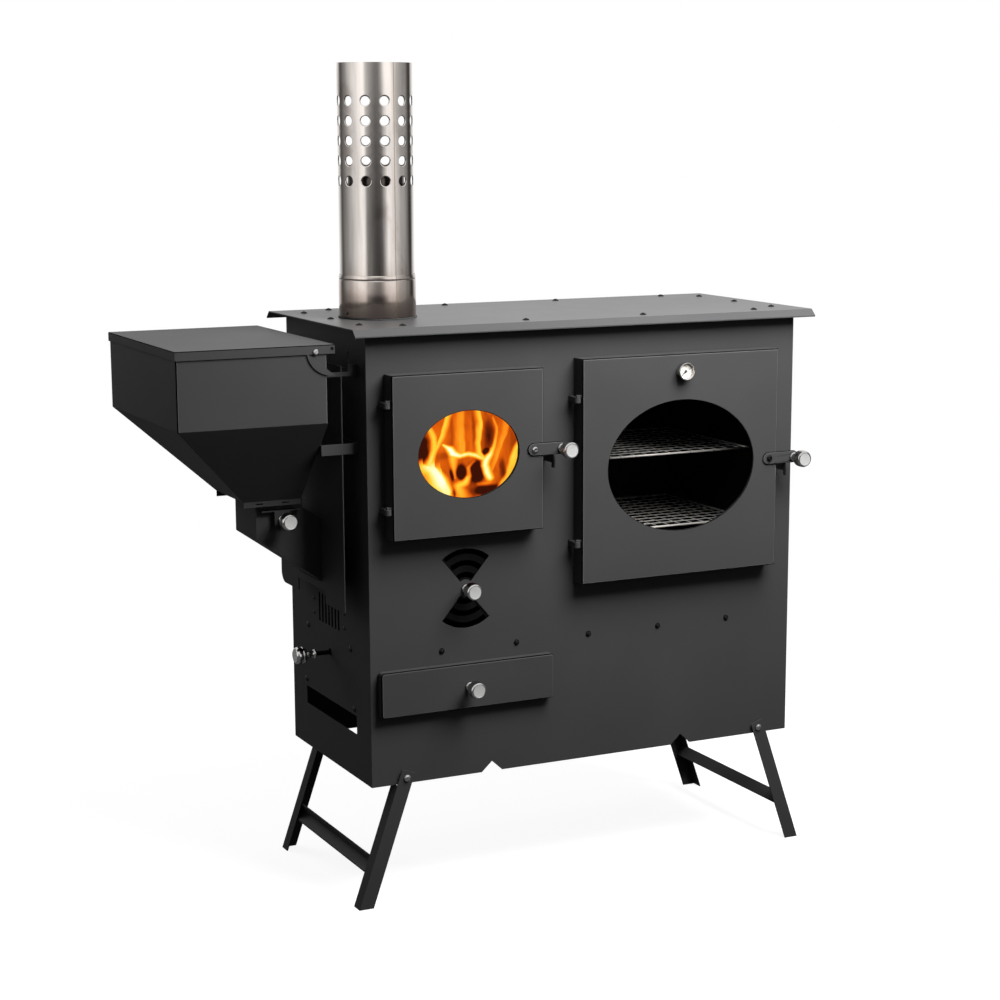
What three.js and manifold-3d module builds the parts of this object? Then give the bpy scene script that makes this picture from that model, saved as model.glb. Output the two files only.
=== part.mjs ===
// Outdoor pellet stove with an oven, a side hopper, folding legs and a chimney.
// Millimetres, +Z up. X runs right and Y runs back, both as seen from the front.
// Inside the stove group the origin is the body's lower front left corner.
import * as THREE from "three";
import { mergeVertices } from "three/addons/utils/BufferGeometryUtils.js";
import Module from "manifold-3d";

const wasm = await Module();
wasm.setup();

// Sheets and clearances
const sheet = 1.5;
const linerSheet = 2;
const leverSheet = 2;
const seat = 0.3;
const slack = 0.8;
const overrun = 3;

// Roundness
const fineSides = 36;
const plainSides = 16;
const smallSides = 10;
const holeSides = 6;

// Body
const bodyWidth = 660;
const bodyDepth = 292;
const bodyHeight = 618.5;
const standHeight = 169;
const rimFlange = 22;
const backFlange = 10;
const rearTongue = 14;

// Bottom notches
const notchOffset = 150.6;
const notchHeight = 14.3;
const notchHalfWidth = 15.6;

// Top plate
const topSideOverhang = 22.5;
const topFrontOverhang = 12.2;
const topBackOverhang = 8.4;
const topLipReach = 9.4;
const topLipDrop = 8.7;

// Doors, both kinds
const doorProud = 26.4;
const doorGap = 1;
const hingeInset = 5.5;
const openingLap = 14;
const glassThickness = 4;
const glassMargin = 10;
const frameMargin = 6;
const frameWindowMargin = 4;

// Firebox door
const fireDoorLeft = 25.3;
const fireDoorWidth = 221;
const fireDoorHeight = 219.5;
const fireDoorCentre = 449.7;
const fireWindowWidth = 146.9;
const fireWindowHeight = 116.6;
const fireHingeSpread = 70.4;

// Oven door
const ovenDoorLeft = 305.8;
const ovenDoorWidth = 313.5;
const ovenDoorHeight = 311.6;
const ovenDoorCentre = 411.8;
const ovenWindowWidth = 233.8;
const ovenWindowHeight = 183.2;
const ovenHingeSpread = 100.1;

// Hinge lugs and hooks
const lugHeight = 7.7;
const lugEyeRadius = 4.6;
const lugWidth = 6;
const hingePinRadius = 2;
const hingeBoreRadius = 2.4;
const hookThickness = 2.5;
const hookWidth = 4;

// Latches
const latchInset = 14;
const latchReach = 40.2;
const latchHalfHeight = 8.8;
const latchTail = 1.7;
const latchScrewHead = 4.75;
const latchScrewRadius = 2.5;
const latchScrewCap = 2.75;
const latchNutHeight = 4;
const keeperOffset = 14;
const keeperThickness = 2;
const keeperReach = 29;
const keeperHeight = 17.5;
const keeperNeck = 11;
const keeperFoot = 7;
const keeperClearance = 0.6;

// Knobs
const knobLength = 31;
const knobRadius = 11.8;
const knobFaceRadius = 8.8;
const knobNeckRadius = 4.7;
const knobBaseRadius = 6.3;
const knobBaseHeight = 2.5;
const knobNeckLength = 9.5;
const knobSwell = 6;
const knobRim = 7.5;
const studRadius = 2.5;
const boreRadius = 3;

// Thermometer
const thermometerHeight = 544;
const thermometerRadius = 12.5;
const thermometerBarrel = 11.3;
const thermometerProud = 12.1;
const thermometerBezel = 3.2;
const thermometerFloor = 6;
const thermometerWell = 10.8;
const stemRadius = 3;
const stemLength = 38;
const spindleRadius = 0.8;
const spindleTop = 9.4;
const dialThickness = 0.8;
const needleLength = 8.6;
const needleHub = 2;
const needleHalfWidth = 0.7;
const needleTipHalfWidth = 0.25;
const needleRestTurn = THREE.MathUtils.degToRad(222);
const lensThickness = 1.2;

// Air damper
const damperX = 141.2;
const damperRise = 75.1;
const damperOuter = 55;
const damperHub = 12;
const damperSlotWidth = 7.6;
const damperSlotPitch = 16.3;
const damperDiscRadius = 63;
const damperHalfAngle = THREE.MathUtils.degToRad(40);
const slotHalfAngle = THREE.MathUtils.degToRad(39);
const damperRestTurn = THREE.MathUtils.degToRad(3);
const damperSlots = 3;

// Ash drawer
const drawerLeft = 10.8;
const drawerWidth = 258.5;
const drawerBottom = 97.4;
const drawerHeight = 62.7;
const drawerProud = 13.2;
const drawerCorner = 4.4;
const drawerLap = 8;
const trayGap = 3;
const trayDepth = 262;
const trayHeight = 44;
const guideLedge = 36;
const guideWeb = 16;
const guideTab = 26;

// Inner shelf and ash slide
const shelfHeight = 187;
const shelfFlange = 18.5;
const slideDrop = 9.2;
const slideWidth = 100;
const slideLength = 98;
const slideTabDrop = 27;
const slideTabHalfWidth = 12;
const rodDrop = 20.5;
const rodRadius = 3.3;
const rodStickOut = 21.5;
const rodSlotHalfWidth = 4.6;
const rodSlotHalfHeight = 5;
const runnerLedge = 6;

// Burner pot
const potCentre = 131;
const potWidth = 92;
const potLip = 6;
const potWall = 2;
const potFlange = 8;
const potHoleRadius = 3;
const potHolePitch = 20;
const potHoleRows = 2;
const potHoleColumns = 4;
const potHoleHeight = 300;

// Firebox liner, partition and oven box
const linerReach = 270;
const linerEase = 2;
const boxFlange = 8;
const gasSlotFront = 60;
const gasSlotBack = 230;
const gasSlotLow = 352;
const gasSlotHeight = 36;
const partitionX = 275;
const partitionFlange = 13;
const partitionHighSlot = 575;
const ovenReach = 266;
const rackLedge = 9;
const rackSideGap = 3;
const rackUpperHeight = 420.6;
const rackLowerHeight = 316.5;
const rackFront = 22;
const rackBack = 258;
const rackRod = 3;
const rackWire = 2.4;
const rackWires = 13;
const rackBars = 3;

// Left side cuts
const lowOpeningFront = 51;
const lowOpeningBack = 239;
const lowOpeningBottom = 61.6;
const lowOpeningHeight = 26.4;
const louvreFront = 111.8;
const louvrePitch = 11.85;
const louvreWidth = 6;
const louvreBottom = 194.7;
const louvreHeight = 40.7;
const louvres = 7;

// Hopper
const hopperLeft = -254.5;
const hopperRight = -52;
const hopperFront = 2.6;
const hopperBack = 292.6;
const hopperBoxBottom = 499.3;
const hopperBoxTop = 599.8;
const throatLeft = -139.2;
const throatRight = -58.3;
const throatFront = 92.8;
const throatBack = 203.5;
const throatRise = 16.7;
const throatFlangeRight = -50.8;
const throatLip = 7.7;
const throatSlotWidth = 10;
const throatSlotHeight = 1.6;
const throatSlotDrop = 3;
const throatSlotInset = 17;
const funnelWall = 2.1;

// Hopper lid
const lidPivotInset = 6;
const lidPivotDrop = 5.6;
const lidOverhang = 10.2;
const lidSkirt = 12.1;
const lidEarRadius = 35;
const lidSlotRadius = 22.2;
const lidSlotHalfWidth = 2.4;
const lidSlotStart = THREE.MathUtils.degToRad(189);
const lidSlotSweep = THREE.MathUtils.degToRad(85);
const lidPinRadius = 2;
const lidBoreRadius = 2.35;
const lidLugRadius = 3.7;
const lidLugDepth = 8;
const stopScrewHead = 4;
const stopScrewRadius = 2;
const stopScrewCap = 2.4;
const stopScrewTail = 5;

// Pellet chute and gate
const chuteFront = 107.3;
const chuteBack = 189.8;
const chuteLeft = -117.3;
const chuteRight = -51.6;
const chuteKneeDrop = 37.5;
const chuteShoulderRise = 2.3;
const chuteSlope = 0.7;
const chuteEntry = 1.5;
const outletInset = 6;
const gateHeight = 370.5;
const gateLeft = -112;
const gateRight = -57;
const gateOverlap = 3;
const gateNose = 8.8;
const gateTabHalfWidth = 11.5;
const gateTabDrop = 21;
const gateKnobX = -82.5;
const gateKnobDrop = 10.5;

// Heat shield and hopper straps
const shieldX = -24.8;
const shieldFront = 25.7;
const shieldDrop = 131.8;
const shieldTop = 569.8;
const shieldCorner = 16;
const shieldNotchFront = 94.6;
const shieldNotchBack = 198.5;
const shieldNotchRise = 17.3;
const strapInset = 0.7;
const strapUpperBottom = 556;
const strapUpperRise = 15;
const strapArmRise = 6;
const strapStep = 14.3;
const strapLowerBottom = 452.7;
const strapLowerRise = 14.3;
const strapFinRise = 32.5;
const strapFinDepth = 8;
const strapFlange = 20;
const lowerStrapReach = 53.2;

// Legs
const splay = THREE.MathUtils.degToRad(19);
const pivotOffset = 280.4;
const pivotRise = 8.8;
const legOuter = 10.6;
const legInner = 9.4;
const legTop = 9.4;
const legReturn = 20;
const legReturnStart = 13.5;
const legStandOff = 2.8;
const crossbarPlace = 130.5;
const crossbarApex = 4.1;
const crossbarFlange = 18.2;
const pivotHead = 4.75;
const pivotCap = 2.75;
const pivotShank = 2.5;
const pivotWasher = 5.2;
const pivotNut = 4.4;
const pivotNutHeight = 4;

// Chimney
const chimneyX = 79;
const chimneyHeight = 340;
const sleeveRadius = 50.8;
const sleeveWall = 1.2;
const baseRingRadius = 52.5;
const baseRingHeight = 59;
const baseRingCrimp = 5;
const fluePipeRadius = 38;
const fluePipeWall = 1.2;
const fluePipeTail = 28;
const fluePipeShort = 137;
const flueBead = 3.5;
const flueBeadHeight = 2;
const collarFlange = 54;
const collarHeight = 28;
const perforationRadius = 6.6;
const perforationRows = 5;
const perforationsRound = 12;
const perforationDrop = 50;
const perforationPitch = 26.4;
const perforationTurnShare = 0.75;

// Places worked out from the sizes above
const midDepth = bodyDepth / 2;
const midWidth = bodyWidth / 2;
const damperHeight = shelfHeight + damperRise;
const slideHeight = shelfHeight - slideDrop;
const rodHeight = slideHeight - rodDrop;
const throatHeight = gateHeight + throatRise;
const chuteKnee = gateHeight - chuteKneeDrop;
const chuteShoulder = gateHeight + chuteShoulderRise;
const gateKnobHeight = gateHeight - gateKnobDrop;
const shieldBottom = gateHeight - shieldDrop;
const shieldNotchTop = shieldBottom + shieldNotchRise;
const strapUpperTall = strapUpperBottom + strapUpperRise;
const strapUpperThin = strapUpperBottom + strapArmRise;
const strapFinTop = strapUpperBottom + strapFinRise;
const strapLowerTop = strapLowerBottom + strapLowerRise;
const sideDepth = bodyDepth - backFlange - seat;
const potRim = fireDoorCentre - fireDoorHeight / 2 + openingLap - linerEase + potLip;
const plateTop = bodyHeight + seat + sheet;
const doorAxisY = hingeInset - doorProud;
const doorBack = doorProud - hingeInset - doorGap;
const lidTop = hopperBoxTop + seat + sheet;
const lidPivotX = hopperRight + lidPivotInset;
const lidPivotZ = lidTop - lidPivotDrop;
const potLeft = potCentre - potWidth / 2;
const potRight = potCentre + potWidth / 2;
const potFront = midDepth - potWidth / 2;
const potBack = midDepth + potWidth / 2;

// Surface finishes
const finishes = {
  blackCoat: { color: 0x303030, roughness: 0.55, metalness: 0.35 },
  hotPlate: { color: 0x3a3a3a, roughness: 0.4, metalness: 0.45 },
  innerSteel: { color: 0x1c1c1c, roughness: 0.8, metalness: 0.3 },
  brightSteel: { color: 0xd0d0cc, roughness: 0.2, metalness: 1 },
  stainless: { color: 0xb9aea4, roughness: 0.22, metalness: 1 },
  rackSteel: { color: 0xbfc1c4, roughness: 0.28, metalness: 1 },
  blackScrew: { color: 0x161616, roughness: 0.45, metalness: 0.6 },
  glass: { color: 0x20180f, roughness: 0.05, metalness: 0, transparent: true, opacity: 0.35 },
  dial: { color: 0xf4f4f0, roughness: 0.5, metalness: 0 },
  needle: { color: 0x101010, roughness: 0.5, metalness: 0.2 },
};

// Closed geometry as a solid, without triangles that have no area
function solidOf(geometry) {
  geometry.deleteAttribute("normal");
  geometry.deleteAttribute("uv");
  const merged = mergeVertices(geometry);
  const corners = merged.index.array;
  const kept = [];
  for (let i = 0; i < corners.length; i += 3) {
    const [a, b, c] = [corners[i], corners[i + 1], corners[i + 2]];
    if (a !== b && b !== c && c !== a) kept.push(a, b, c);
  }
  const mesh = new wasm.Mesh({
    numProp: 3,
    vertProperties: merged.attributes.position.array,
    triVerts: new Uint32Array(kept),
  });
  return new wasm.Manifold(mesh);
}

// A finished piece from its solid
function piece(name, solid, finish) {
  const made = solid.getMesh();
  const geometry = new THREE.BufferGeometry();
  geometry.setAttribute("position", new THREE.BufferAttribute(made.vertProperties, made.numProp));
  geometry.setIndex(new THREE.BufferAttribute(made.triVerts, 1));
  geometry.computeVertexNormals();
  const mesh = new THREE.Mesh(geometry, new THREE.MeshStandardMaterial(finishes[finish]));
  mesh.name = name;
  return mesh;
}

// Upright block between three pairs of faces
function block(left, right, front, back, bottom, top) {
  const geometry = new THREE.BoxGeometry(right - left, back - front, top - bottom);
  geometry.translate((left + right) / 2, (front + back) / 2, (bottom + top) / 2);
  return solidOf(geometry);
}

// Outline in X and Z, as a slab that runs back from its front face
function frontSlab(outline, front, depth, curveSegments = plainSides) {
  const geometry = new THREE.ExtrudeGeometry(outline, { depth, bevelEnabled: false, curveSegments });
  geometry.rotateX(Math.PI / 2);
  geometry.translate(0, front + depth, 0);
  return solidOf(geometry);
}

// Outline in Y and Z, as a slab that runs right from its left face
function sideSlab(outline, left, depth, curveSegments = plainSides) {
  const geometry = new THREE.ExtrudeGeometry(outline, { depth, bevelEnabled: false, curveSegments });
  const alongY = new THREE.Vector3(0, 1, 0);
  const alongZ = new THREE.Vector3(0, 0, 1);
  const alongX = new THREE.Vector3(1, 0, 0);
  geometry.applyMatrix4(new THREE.Matrix4().makeBasis(alongY, alongZ, alongX));
  geometry.translate(left, 0, 0);
  return solidOf(geometry);
}

// Profile of radius and height, turned about the Z axis
function turnedUp(profile, sides = plainSides) {
  const points = profile.map(([radius, height]) => new THREE.Vector2(radius, height));
  const geometry = new THREE.LatheGeometry(points, sides);
  geometry.rotateX(Math.PI / 2);
  return solidOf(geometry);
}

// The same profile turned about Y, its height pointing to the front
function turnedForward(profile, sides = plainSides) {
  const points = profile.map(([radius, height]) => new THREE.Vector2(radius, height));
  const geometry = new THREE.LatheGeometry(points, sides);
  geometry.rotateX(Math.PI);
  return solidOf(geometry);
}

// Round bar along Y, X or Z
function barAlongY(radius, front, back, x, z, sides = smallSides) {
  const geometry = new THREE.CylinderGeometry(radius, radius, back - front, sides);
  geometry.translate(x, (front + back) / 2, z);
  return solidOf(geometry);
}

function barAlongX(radius, left, right, y, z, sides = smallSides) {
  const geometry = new THREE.CylinderGeometry(radius, radius, right - left, sides);
  geometry.rotateZ(Math.PI / 2);
  geometry.translate((left + right) / 2, y, z);
  return solidOf(geometry);
}

function barAlongZ(radius, bottom, top, x, y, sides = smallSides) {
  const geometry = new THREE.CylinderGeometry(radius, radius, top - bottom, sides);
  geometry.rotateX(Math.PI / 2);
  geometry.translate(x, y, (bottom + top) / 2);
  return solidOf(geometry);
}

function joined(solids) {
  return solids.reduce((whole, next) => whole.add(next));
}

function outlineOf(points) {
  return new THREE.Shape(points.map(([across, up]) => new THREE.Vector2(across, up)));
}

function roundedRectangle(left, right, bottom, top, radius) {
  const outline = new THREE.Shape();
  outline.moveTo(left + radius, bottom);
  outline.lineTo(right - radius, bottom);
  outline.absarc(right - radius, bottom + radius, radius, -Math.PI / 2, 0, false);
  outline.lineTo(right, top - radius);
  outline.absarc(right - radius, top - radius, radius, 0, Math.PI / 2, false);
  outline.lineTo(left + radius, top);
  outline.absarc(left + radius, top - radius, radius, Math.PI / 2, Math.PI, false);
  outline.lineTo(left, bottom + radius);
  outline.absarc(left + radius, bottom + radius, radius, Math.PI, Math.PI * 1.5, false);
  return outline;
}

// L section: a web that stands at the heel, and a foot that reaches to the toe
function angleOutline(heel, toe, bottom, top) {
  const inwards = Math.sign(toe - heel);
  return outlineOf([
    [heel, bottom],
    [toe, bottom],
    [toe, bottom + sheet],
    [heel + inwards * sheet, bottom + sheet],
    [heel + inwards * sheet, top],
    [heel, top],
  ]);
}

// Part of a ring between two radii and two angles, counted from +X towards +Z
function ringSector(inner, outer, from, to) {
  const outline = new THREE.Shape();
  outline.moveTo(inner * Math.cos(from), inner * Math.sin(from));
  outline.lineTo(outer * Math.cos(from), outer * Math.sin(from));
  outline.absarc(0, 0, outer, from, to, false);
  outline.lineTo(inner * Math.cos(to), inner * Math.sin(to));
  outline.absarc(0, 0, inner, to, from, true);
  return outline;
}

// The standard knob with its threaded stud, along Y with the face to the front
function knob(name, studLength) {
  const swellEnd = knobBaseHeight + knobNeckLength + knobSwell;
  const profile = [
    [0, -studLength],
    [studRadius, -studLength],
    [studRadius, 0],
    [knobBaseRadius, 0],
    [knobBaseRadius, knobBaseHeight],
    [knobNeckRadius, knobBaseHeight],
    [knobNeckRadius, knobBaseHeight + knobNeckLength],
    [knobRadius, swellEnd],
    [knobRadius, swellEnd + knobRim],
    [knobFaceRadius, knobLength],
    [0, knobLength],
  ];
  return piece(name, turnedForward(profile, plainSides), "brightSteel");
}

// Bolt along Y: cap in front, then the shank, then a nut of the given radius behind
function bolt(headRadius, cap, shankRadius, shankLength, nutRadius, nutHeight) {
  const dome = headRadius * 0.6;
  return turnedForward([
    [0, -shankLength - nutHeight],
    [nutRadius, -shankLength - nutHeight],
    [nutRadius, -shankLength],
    [shankRadius, -shankLength],
    [shankRadius, 0],
    [headRadius, 0],
    [headRadius, cap / 2],
    [dome, cap],
    [0, cap],
  ], smallSides);
}

// Triangle cut out of a panel's bottom edge
function bottomNotch(centre, front, back) {
  const outline = outlineOf([
    [centre - notchHalfWidth - overrun, -overrun],
    [centre + notchHalfWidth + overrun, -overrun],
    [centre + notchHalfWidth, 0],
    [centre, notchHeight],
    [centre - notchHalfWidth, 0],
  ]);
  return frontSlab(outline, front, back - front);
}

// The two notches and two leg pivot holes in a panel that lies between front and back
function bottomCuts(front, back) {
  const cuts = [];
  for (const side of [-1, 1]) {
    cuts.push(bottomNotch(midWidth + side * notchOffset, front - overrun, back + overrun));
    const pivotX = midWidth + side * pivotOffset;
    cuts.push(barAlongY(boreRadius, front - overrun, back + overrun, pivotX, pivotRise));
  }
  return joined(cuts);
}

// Opening behind a door, smaller than the door by the lap on each side
function doorOpening(left, width, centre, height) {
  const right = left + width - openingLap;
  const bottom = centre - height / 2 + openingLap;
  const top = centre + height / 2 - openingLap;
  return block(left + openingLap, right, -overrun, sheet + overrun, bottom, top);
}

// Two facing sectors and the axle hole of the air inlet
function airOpening() {
  const cuts = [];
  for (const middle of [Math.PI / 2, -Math.PI / 2]) {
    const sector = ringSector(damperHub, damperOuter, middle - damperHalfAngle, middle + damperHalfAngle);
    cuts.push(frontSlab(sector, -overrun, sheet + overrun * 2, smallSides));
  }
  cuts.push(barAlongY(boreRadius, -overrun, sheet + overrun, 0, 0));
  return joined(cuts).translate([damperX, 0, damperHeight]);
}

function drawerOpening() {
  const right = drawerLeft + drawerWidth - drawerLap;
  const top = drawerBottom + drawerHeight - drawerLap;
  return block(drawerLeft + drawerLap, right, -overrun, sheet + overrun, drawerBottom + drawerLap, top);
}

// Openings in the left side: louvres, rod slot, chute and the low vent
function leftSideCuts() {
  const low = lowOpeningBottom + lowOpeningHeight;
  const rodY = midDepth;
  const chuteTop = chuteShoulder - (sheet - chuteRight) * chuteSlope + slack * 3;
  const chuteBottom = chuteKnee - (sheet - chuteLeft) * chuteSlope - slack;
  const cuts = [
    block(-overrun, sheet + overrun, lowOpeningFront, lowOpeningBack, lowOpeningBottom, low),
    block(-overrun, sheet + overrun, rodY - rodSlotHalfWidth, rodY + rodSlotHalfWidth,
      rodHeight - rodSlotHalfHeight, rodHeight + rodSlotHalfHeight),
    block(-overrun, sheet + overrun, chuteFront - slack, chuteBack + slack, chuteBottom, chuteTop),
  ];
  for (let i = 0; i < louvres; i++) {
    const front = louvreFront + i * louvrePitch - louvreWidth / 2;
    const top = louvreBottom + louvreHeight;
    cuts.push(block(-overrun, sheet + overrun, front, front + louvreWidth, louvreBottom, top));
  }
  return joined(cuts);
}

// Front and sides, folded from one sheet
function bodyShell() {
  const right = bodyWidth - sheet;
  const rearFace = sideDepth - sheet;
  const flangeBottom = bodyHeight - sheet;
  const walls = joined([
    block(0, bodyWidth, 0, sheet, 0, bodyHeight),
    block(0, sheet, 0, sideDepth, 0, bodyHeight),
    block(right, bodyWidth, 0, sideDepth, 0, bodyHeight),
    block(0, bodyWidth, 0, rimFlange, flangeBottom, bodyHeight),
    block(0, rimFlange, 0, sideDepth, flangeBottom, bodyHeight),
    block(bodyWidth - rimFlange, bodyWidth, 0, sideDepth, flangeBottom, bodyHeight),
    block(0, rearTongue, rearFace, sideDepth, 0, bodyHeight),
    block(bodyWidth - rearTongue, bodyWidth, rearFace, sideDepth, 0, bodyHeight),
  ]);
  const cuts = joined([
    doorOpening(fireDoorLeft, fireDoorWidth, fireDoorCentre, fireDoorHeight),
    doorOpening(ovenDoorLeft, ovenDoorWidth, ovenDoorCentre, ovenDoorHeight),
    airOpening(),
    drawerOpening(),
    leftSideCuts(),
    bottomCuts(0, sheet),
  ]);
  return piece("body_shell", walls.subtract(cuts), "blackCoat");
}

function backPanel() {
  const face = bodyDepth - sheet;
  const flangeFront = sideDepth + seat;
  const topFront = bodyDepth - rimFlange;
  const inner = rimFlange + slack;
  const walls = joined([
    block(0, bodyWidth, face, bodyDepth, 0, bodyHeight),
    block(0, sheet, flangeFront, bodyDepth, 0, bodyHeight),
    block(bodyWidth - sheet, bodyWidth, flangeFront, bodyDepth, 0, bodyHeight),
    block(inner, bodyWidth - inner, topFront, bodyDepth, bodyHeight - sheet, bodyHeight),
  ]);
  return piece("back_panel", walls.subtract(bottomCuts(face, bodyDepth)), "blackCoat");
}

// Hot plate: flat, with a sloping lip along the front and the back
function topPlate() {
  const front = -topFrontOverhang;
  const back = bodyDepth + topBackOverhang;
  const lowTop = plateTop - topLipDrop;
  const lipWall = sheet * 1.3;
  const outline = outlineOf([
    [front, plateTop],
    [front - topLipReach, lowTop],
    [front - topLipReach, lowTop - lipWall],
    [front, plateTop - sheet],
    [back, plateTop - sheet],
    [back + topLipReach, lowTop - lipWall],
    [back + topLipReach, lowTop],
    [back, plateTop],
  ]);
  const plate = sideSlab(outline, -topSideOverhang, bodyWidth + topSideOverhang * 2);
  const hole = fluePipeRadius + slack;
  const flueHole = barAlongZ(hole, bodyHeight - overrun, plateTop + overrun, chimneyX, midDepth, fineSides);
  return piece("top_plate", plate.subtract(flueHole), "hotPlate");
}

// Shelf over the ash space, with its folded edges and the runners of the ash slide
function innerShelf() {
  const left = sheet + seat;
  const right = bodyWidth - left;
  const front = left;
  const back = sideDepth - sheet - seat;
  const top = shelfHeight + sheet;
  const low = shelfHeight - shelfFlange;
  const runnerFront = midDepth - slideWidth / 2 - slack;
  const runnerBack = midDepth + slideWidth / 2 + slack;
  const ledgeTop = slideHeight - seat;
  const runnerStart = left + sheet / 2;
  const runnerLength = potRight - runnerStart;
  const webTop = shelfHeight + sheet / 2;
  const pan = block(left, right, front, back, low, top);
  const hollow = block(left + sheet, right - sheet, front + sheet, back - sheet,
    low - overrun, shelfHeight);
  const frontRunner = angleOutline(
    runnerFront - sheet, runnerFront + runnerLedge, ledgeTop - sheet, webTop);
  const backRunner = angleOutline(runnerBack + sheet, runnerBack - runnerLedge, ledgeTop - sheet, webTop);
  const hole = block(potLeft - seat, potRight + seat, potFront - seat, potBack + seat,
    shelfHeight - seat, top + overrun);
  const shelf = pan
    .subtract(hollow)
    .add(sideSlab(frontRunner, runnerStart, runnerLength))
    .add(sideSlab(backRunner, runnerStart, runnerLength));
  return piece("inner_shelf", shelf.subtract(hole), "innerSteel");
}

// Wall between the fire and the oven, with two slots for the hot gas
function partition() {
  const front = sheet + seat;
  const back = sideDepth - sheet - seat;
  const bottom = shelfHeight + sheet + seat;
  const top = bodyHeight - sheet - seat;
  const right = partitionX + sheet;
  const wall = joined([
    block(partitionX, right, front, back, bottom, top),
    block(partitionX, right + partitionFlange, front, front + sheet, bottom, top),
    block(partitionX, right + partitionFlange, front, back, bottom, bottom + sheet),
  ]);
  const low = gasSlotLow + gasSlotHeight;
  const highTop = partitionHighSlot + gasSlotHeight;
  const slots = joined([
    block(partitionX - overrun, right + overrun, gasSlotFront, gasSlotBack, gasSlotLow, low),
    block(partitionX - overrun, right + overrun, gasSlotFront, gasSlotBack, partitionHighSlot, highTop),
  ]);
  return piece("partition", wall.subtract(slots), "innerSteel");
}

// Box that is open to the front, with a flange round its mouth
function openBox(left, right, bottom, top, reach, wall) {
  const front = sheet + seat;
  const outer = joined([
    block(left - wall, right + wall, front, reach, bottom - wall, top + wall),
    block(left - wall - boxFlange, right + wall + boxFlange, front, front + wall,
      bottom - wall - boxFlange, top + wall + boxFlange),
  ]);
  return outer.subtract(block(left, right, 0, reach - wall, bottom, top));
}

function fireboxLiner() {
  const left = fireDoorLeft + openingLap - linerEase;
  const right = fireDoorLeft + fireDoorWidth - openingLap + linerEase;
  const bottom = fireDoorCentre - fireDoorHeight / 2 + openingLap - linerEase;
  const top = fireDoorCentre + fireDoorHeight / 2 - openingLap + linerEase;
  const liner = openBox(left, right, bottom, top, linerReach, linerSheet);
  const gasTop = gasSlotLow + gasSlotHeight;
  const cuts = joined([
    block(potLeft - seat, potRight + seat, potFront - seat, potBack + seat,
      bottom - linerSheet - overrun, bottom + overrun),
    block(right - overrun, right + linerSheet + overrun, gasSlotFront, gasSlotBack,
      gasSlotLow + linerSheet, gasTop),
  ]);
  return piece("firebox_liner", liner.subtract(cuts), "innerSteel");
}

// Square pot that holds the burning pellets, with its chute inlet and air holes
function burnerPot() {
  const bottom = slideHeight + sheet + seat;
  const shelfTop = shelfHeight + sheet + seat;
  const tube = joined([
    block(potLeft, potRight, potFront, potBack, bottom, potRim),
    block(potLeft - potFlange, potRight + potFlange, potFront - potFlange, potBack + potFlange,
      shelfTop, shelfTop + sheet),
  ]);
  const bore = block(potLeft + potWall, potRight - potWall, potFront + potWall, potBack - potWall,
    bottom - overrun, potRim + overrun);
  const inletTop = chuteShoulder - (potLeft - chuteRight) * chuteSlope + slack;
  const inletBottom = chuteKnee - (potLeft + potWall - chuteLeft) * chuteSlope - slack;
  const inlet = block(potLeft - overrun, potLeft + potWall + overrun, chuteFront - slack, chuteBack + slack,
    inletBottom, inletTop);
  const holes = [];
  for (let row = 0; row < potHoleRows; row++) {
    for (let column = 0; column < potHoleColumns; column++) {
      const x = potCentre + (column - (potHoleColumns - 1) / 2) * potHolePitch;
      const z = potHoleHeight + row * potHolePitch;
      holes.push(barAlongY(potHoleRadius, potFront - overrun, potBack + overrun, x, z, holeSides));
    }
  }
  return piece("burner_pot", tube.subtract(bore).subtract(inlet).subtract(joined(holes)), "innerSteel");
}

// Oven with four pressed ledges for the racks
function ovenBox() {
  const left = ovenDoorLeft + openingLap - linerEase;
  const right = ovenDoorLeft + ovenDoorWidth - openingLap + linerEase;
  const bottom = ovenDoorCentre - ovenDoorHeight / 2 + openingLap - linerEase;
  const top = ovenDoorCentre + ovenDoorHeight / 2 - openingLap + linerEase;
  const oven = openBox(left, right, bottom, top, ovenReach, sheet);
  const ledges = [];
  for (const rack of [rackUpperHeight, rackLowerHeight]) {
    const ledgeTop = rack - rackRod / 2 - seat;
    ledges.push(block(left - sheet, left + rackLedge, rackFront, ovenReach, ledgeTop - sheet, ledgeTop));
    ledges.push(block(right - rackLedge, right + sheet, rackFront, ovenReach, ledgeTop - sheet, ledgeTop));
  }
  return piece("oven_box", oven.add(joined(ledges)), "innerSteel");
}

// Wire rack: a rod frame with one crossbar, and wires from front to back
function ovenRack(name, height) {
  const left = ovenDoorLeft + openingLap - linerEase + rackSideGap;
  const right = ovenDoorLeft + ovenDoorWidth - openingLap + linerEase - rackSideGap;
  const low = height - rackRod / 2;
  const high = height + rackRod / 2;
  const rods = [
    block(left, left + rackRod, rackFront, rackBack, low, high),
    block(right - rackRod, right, rackFront, rackBack, low, high),
  ];
  for (let i = 0; i < rackBars; i++) {
    const front = rackFront + ((rackBack - rackFront - rackRod) * i) / (rackBars - 1);
    rods.push(block(left, right, front, front + rackRod, low, high));
  }
  const pitch = (right - left - rackRod) / (rackWires + 1);
  for (let i = 1; i <= rackWires; i++) {
    const middle = left + rackRod / 2 + i * pitch;
    const wireTop = high + rackWire / 2;
    rods.push(block(middle - rackWire / 2, middle + rackWire / 2, rackFront, rackBack,
      wireTop - rackWire, wireTop));
  }
  return piece(name, joined(rods), "rackSteel");
}

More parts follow.
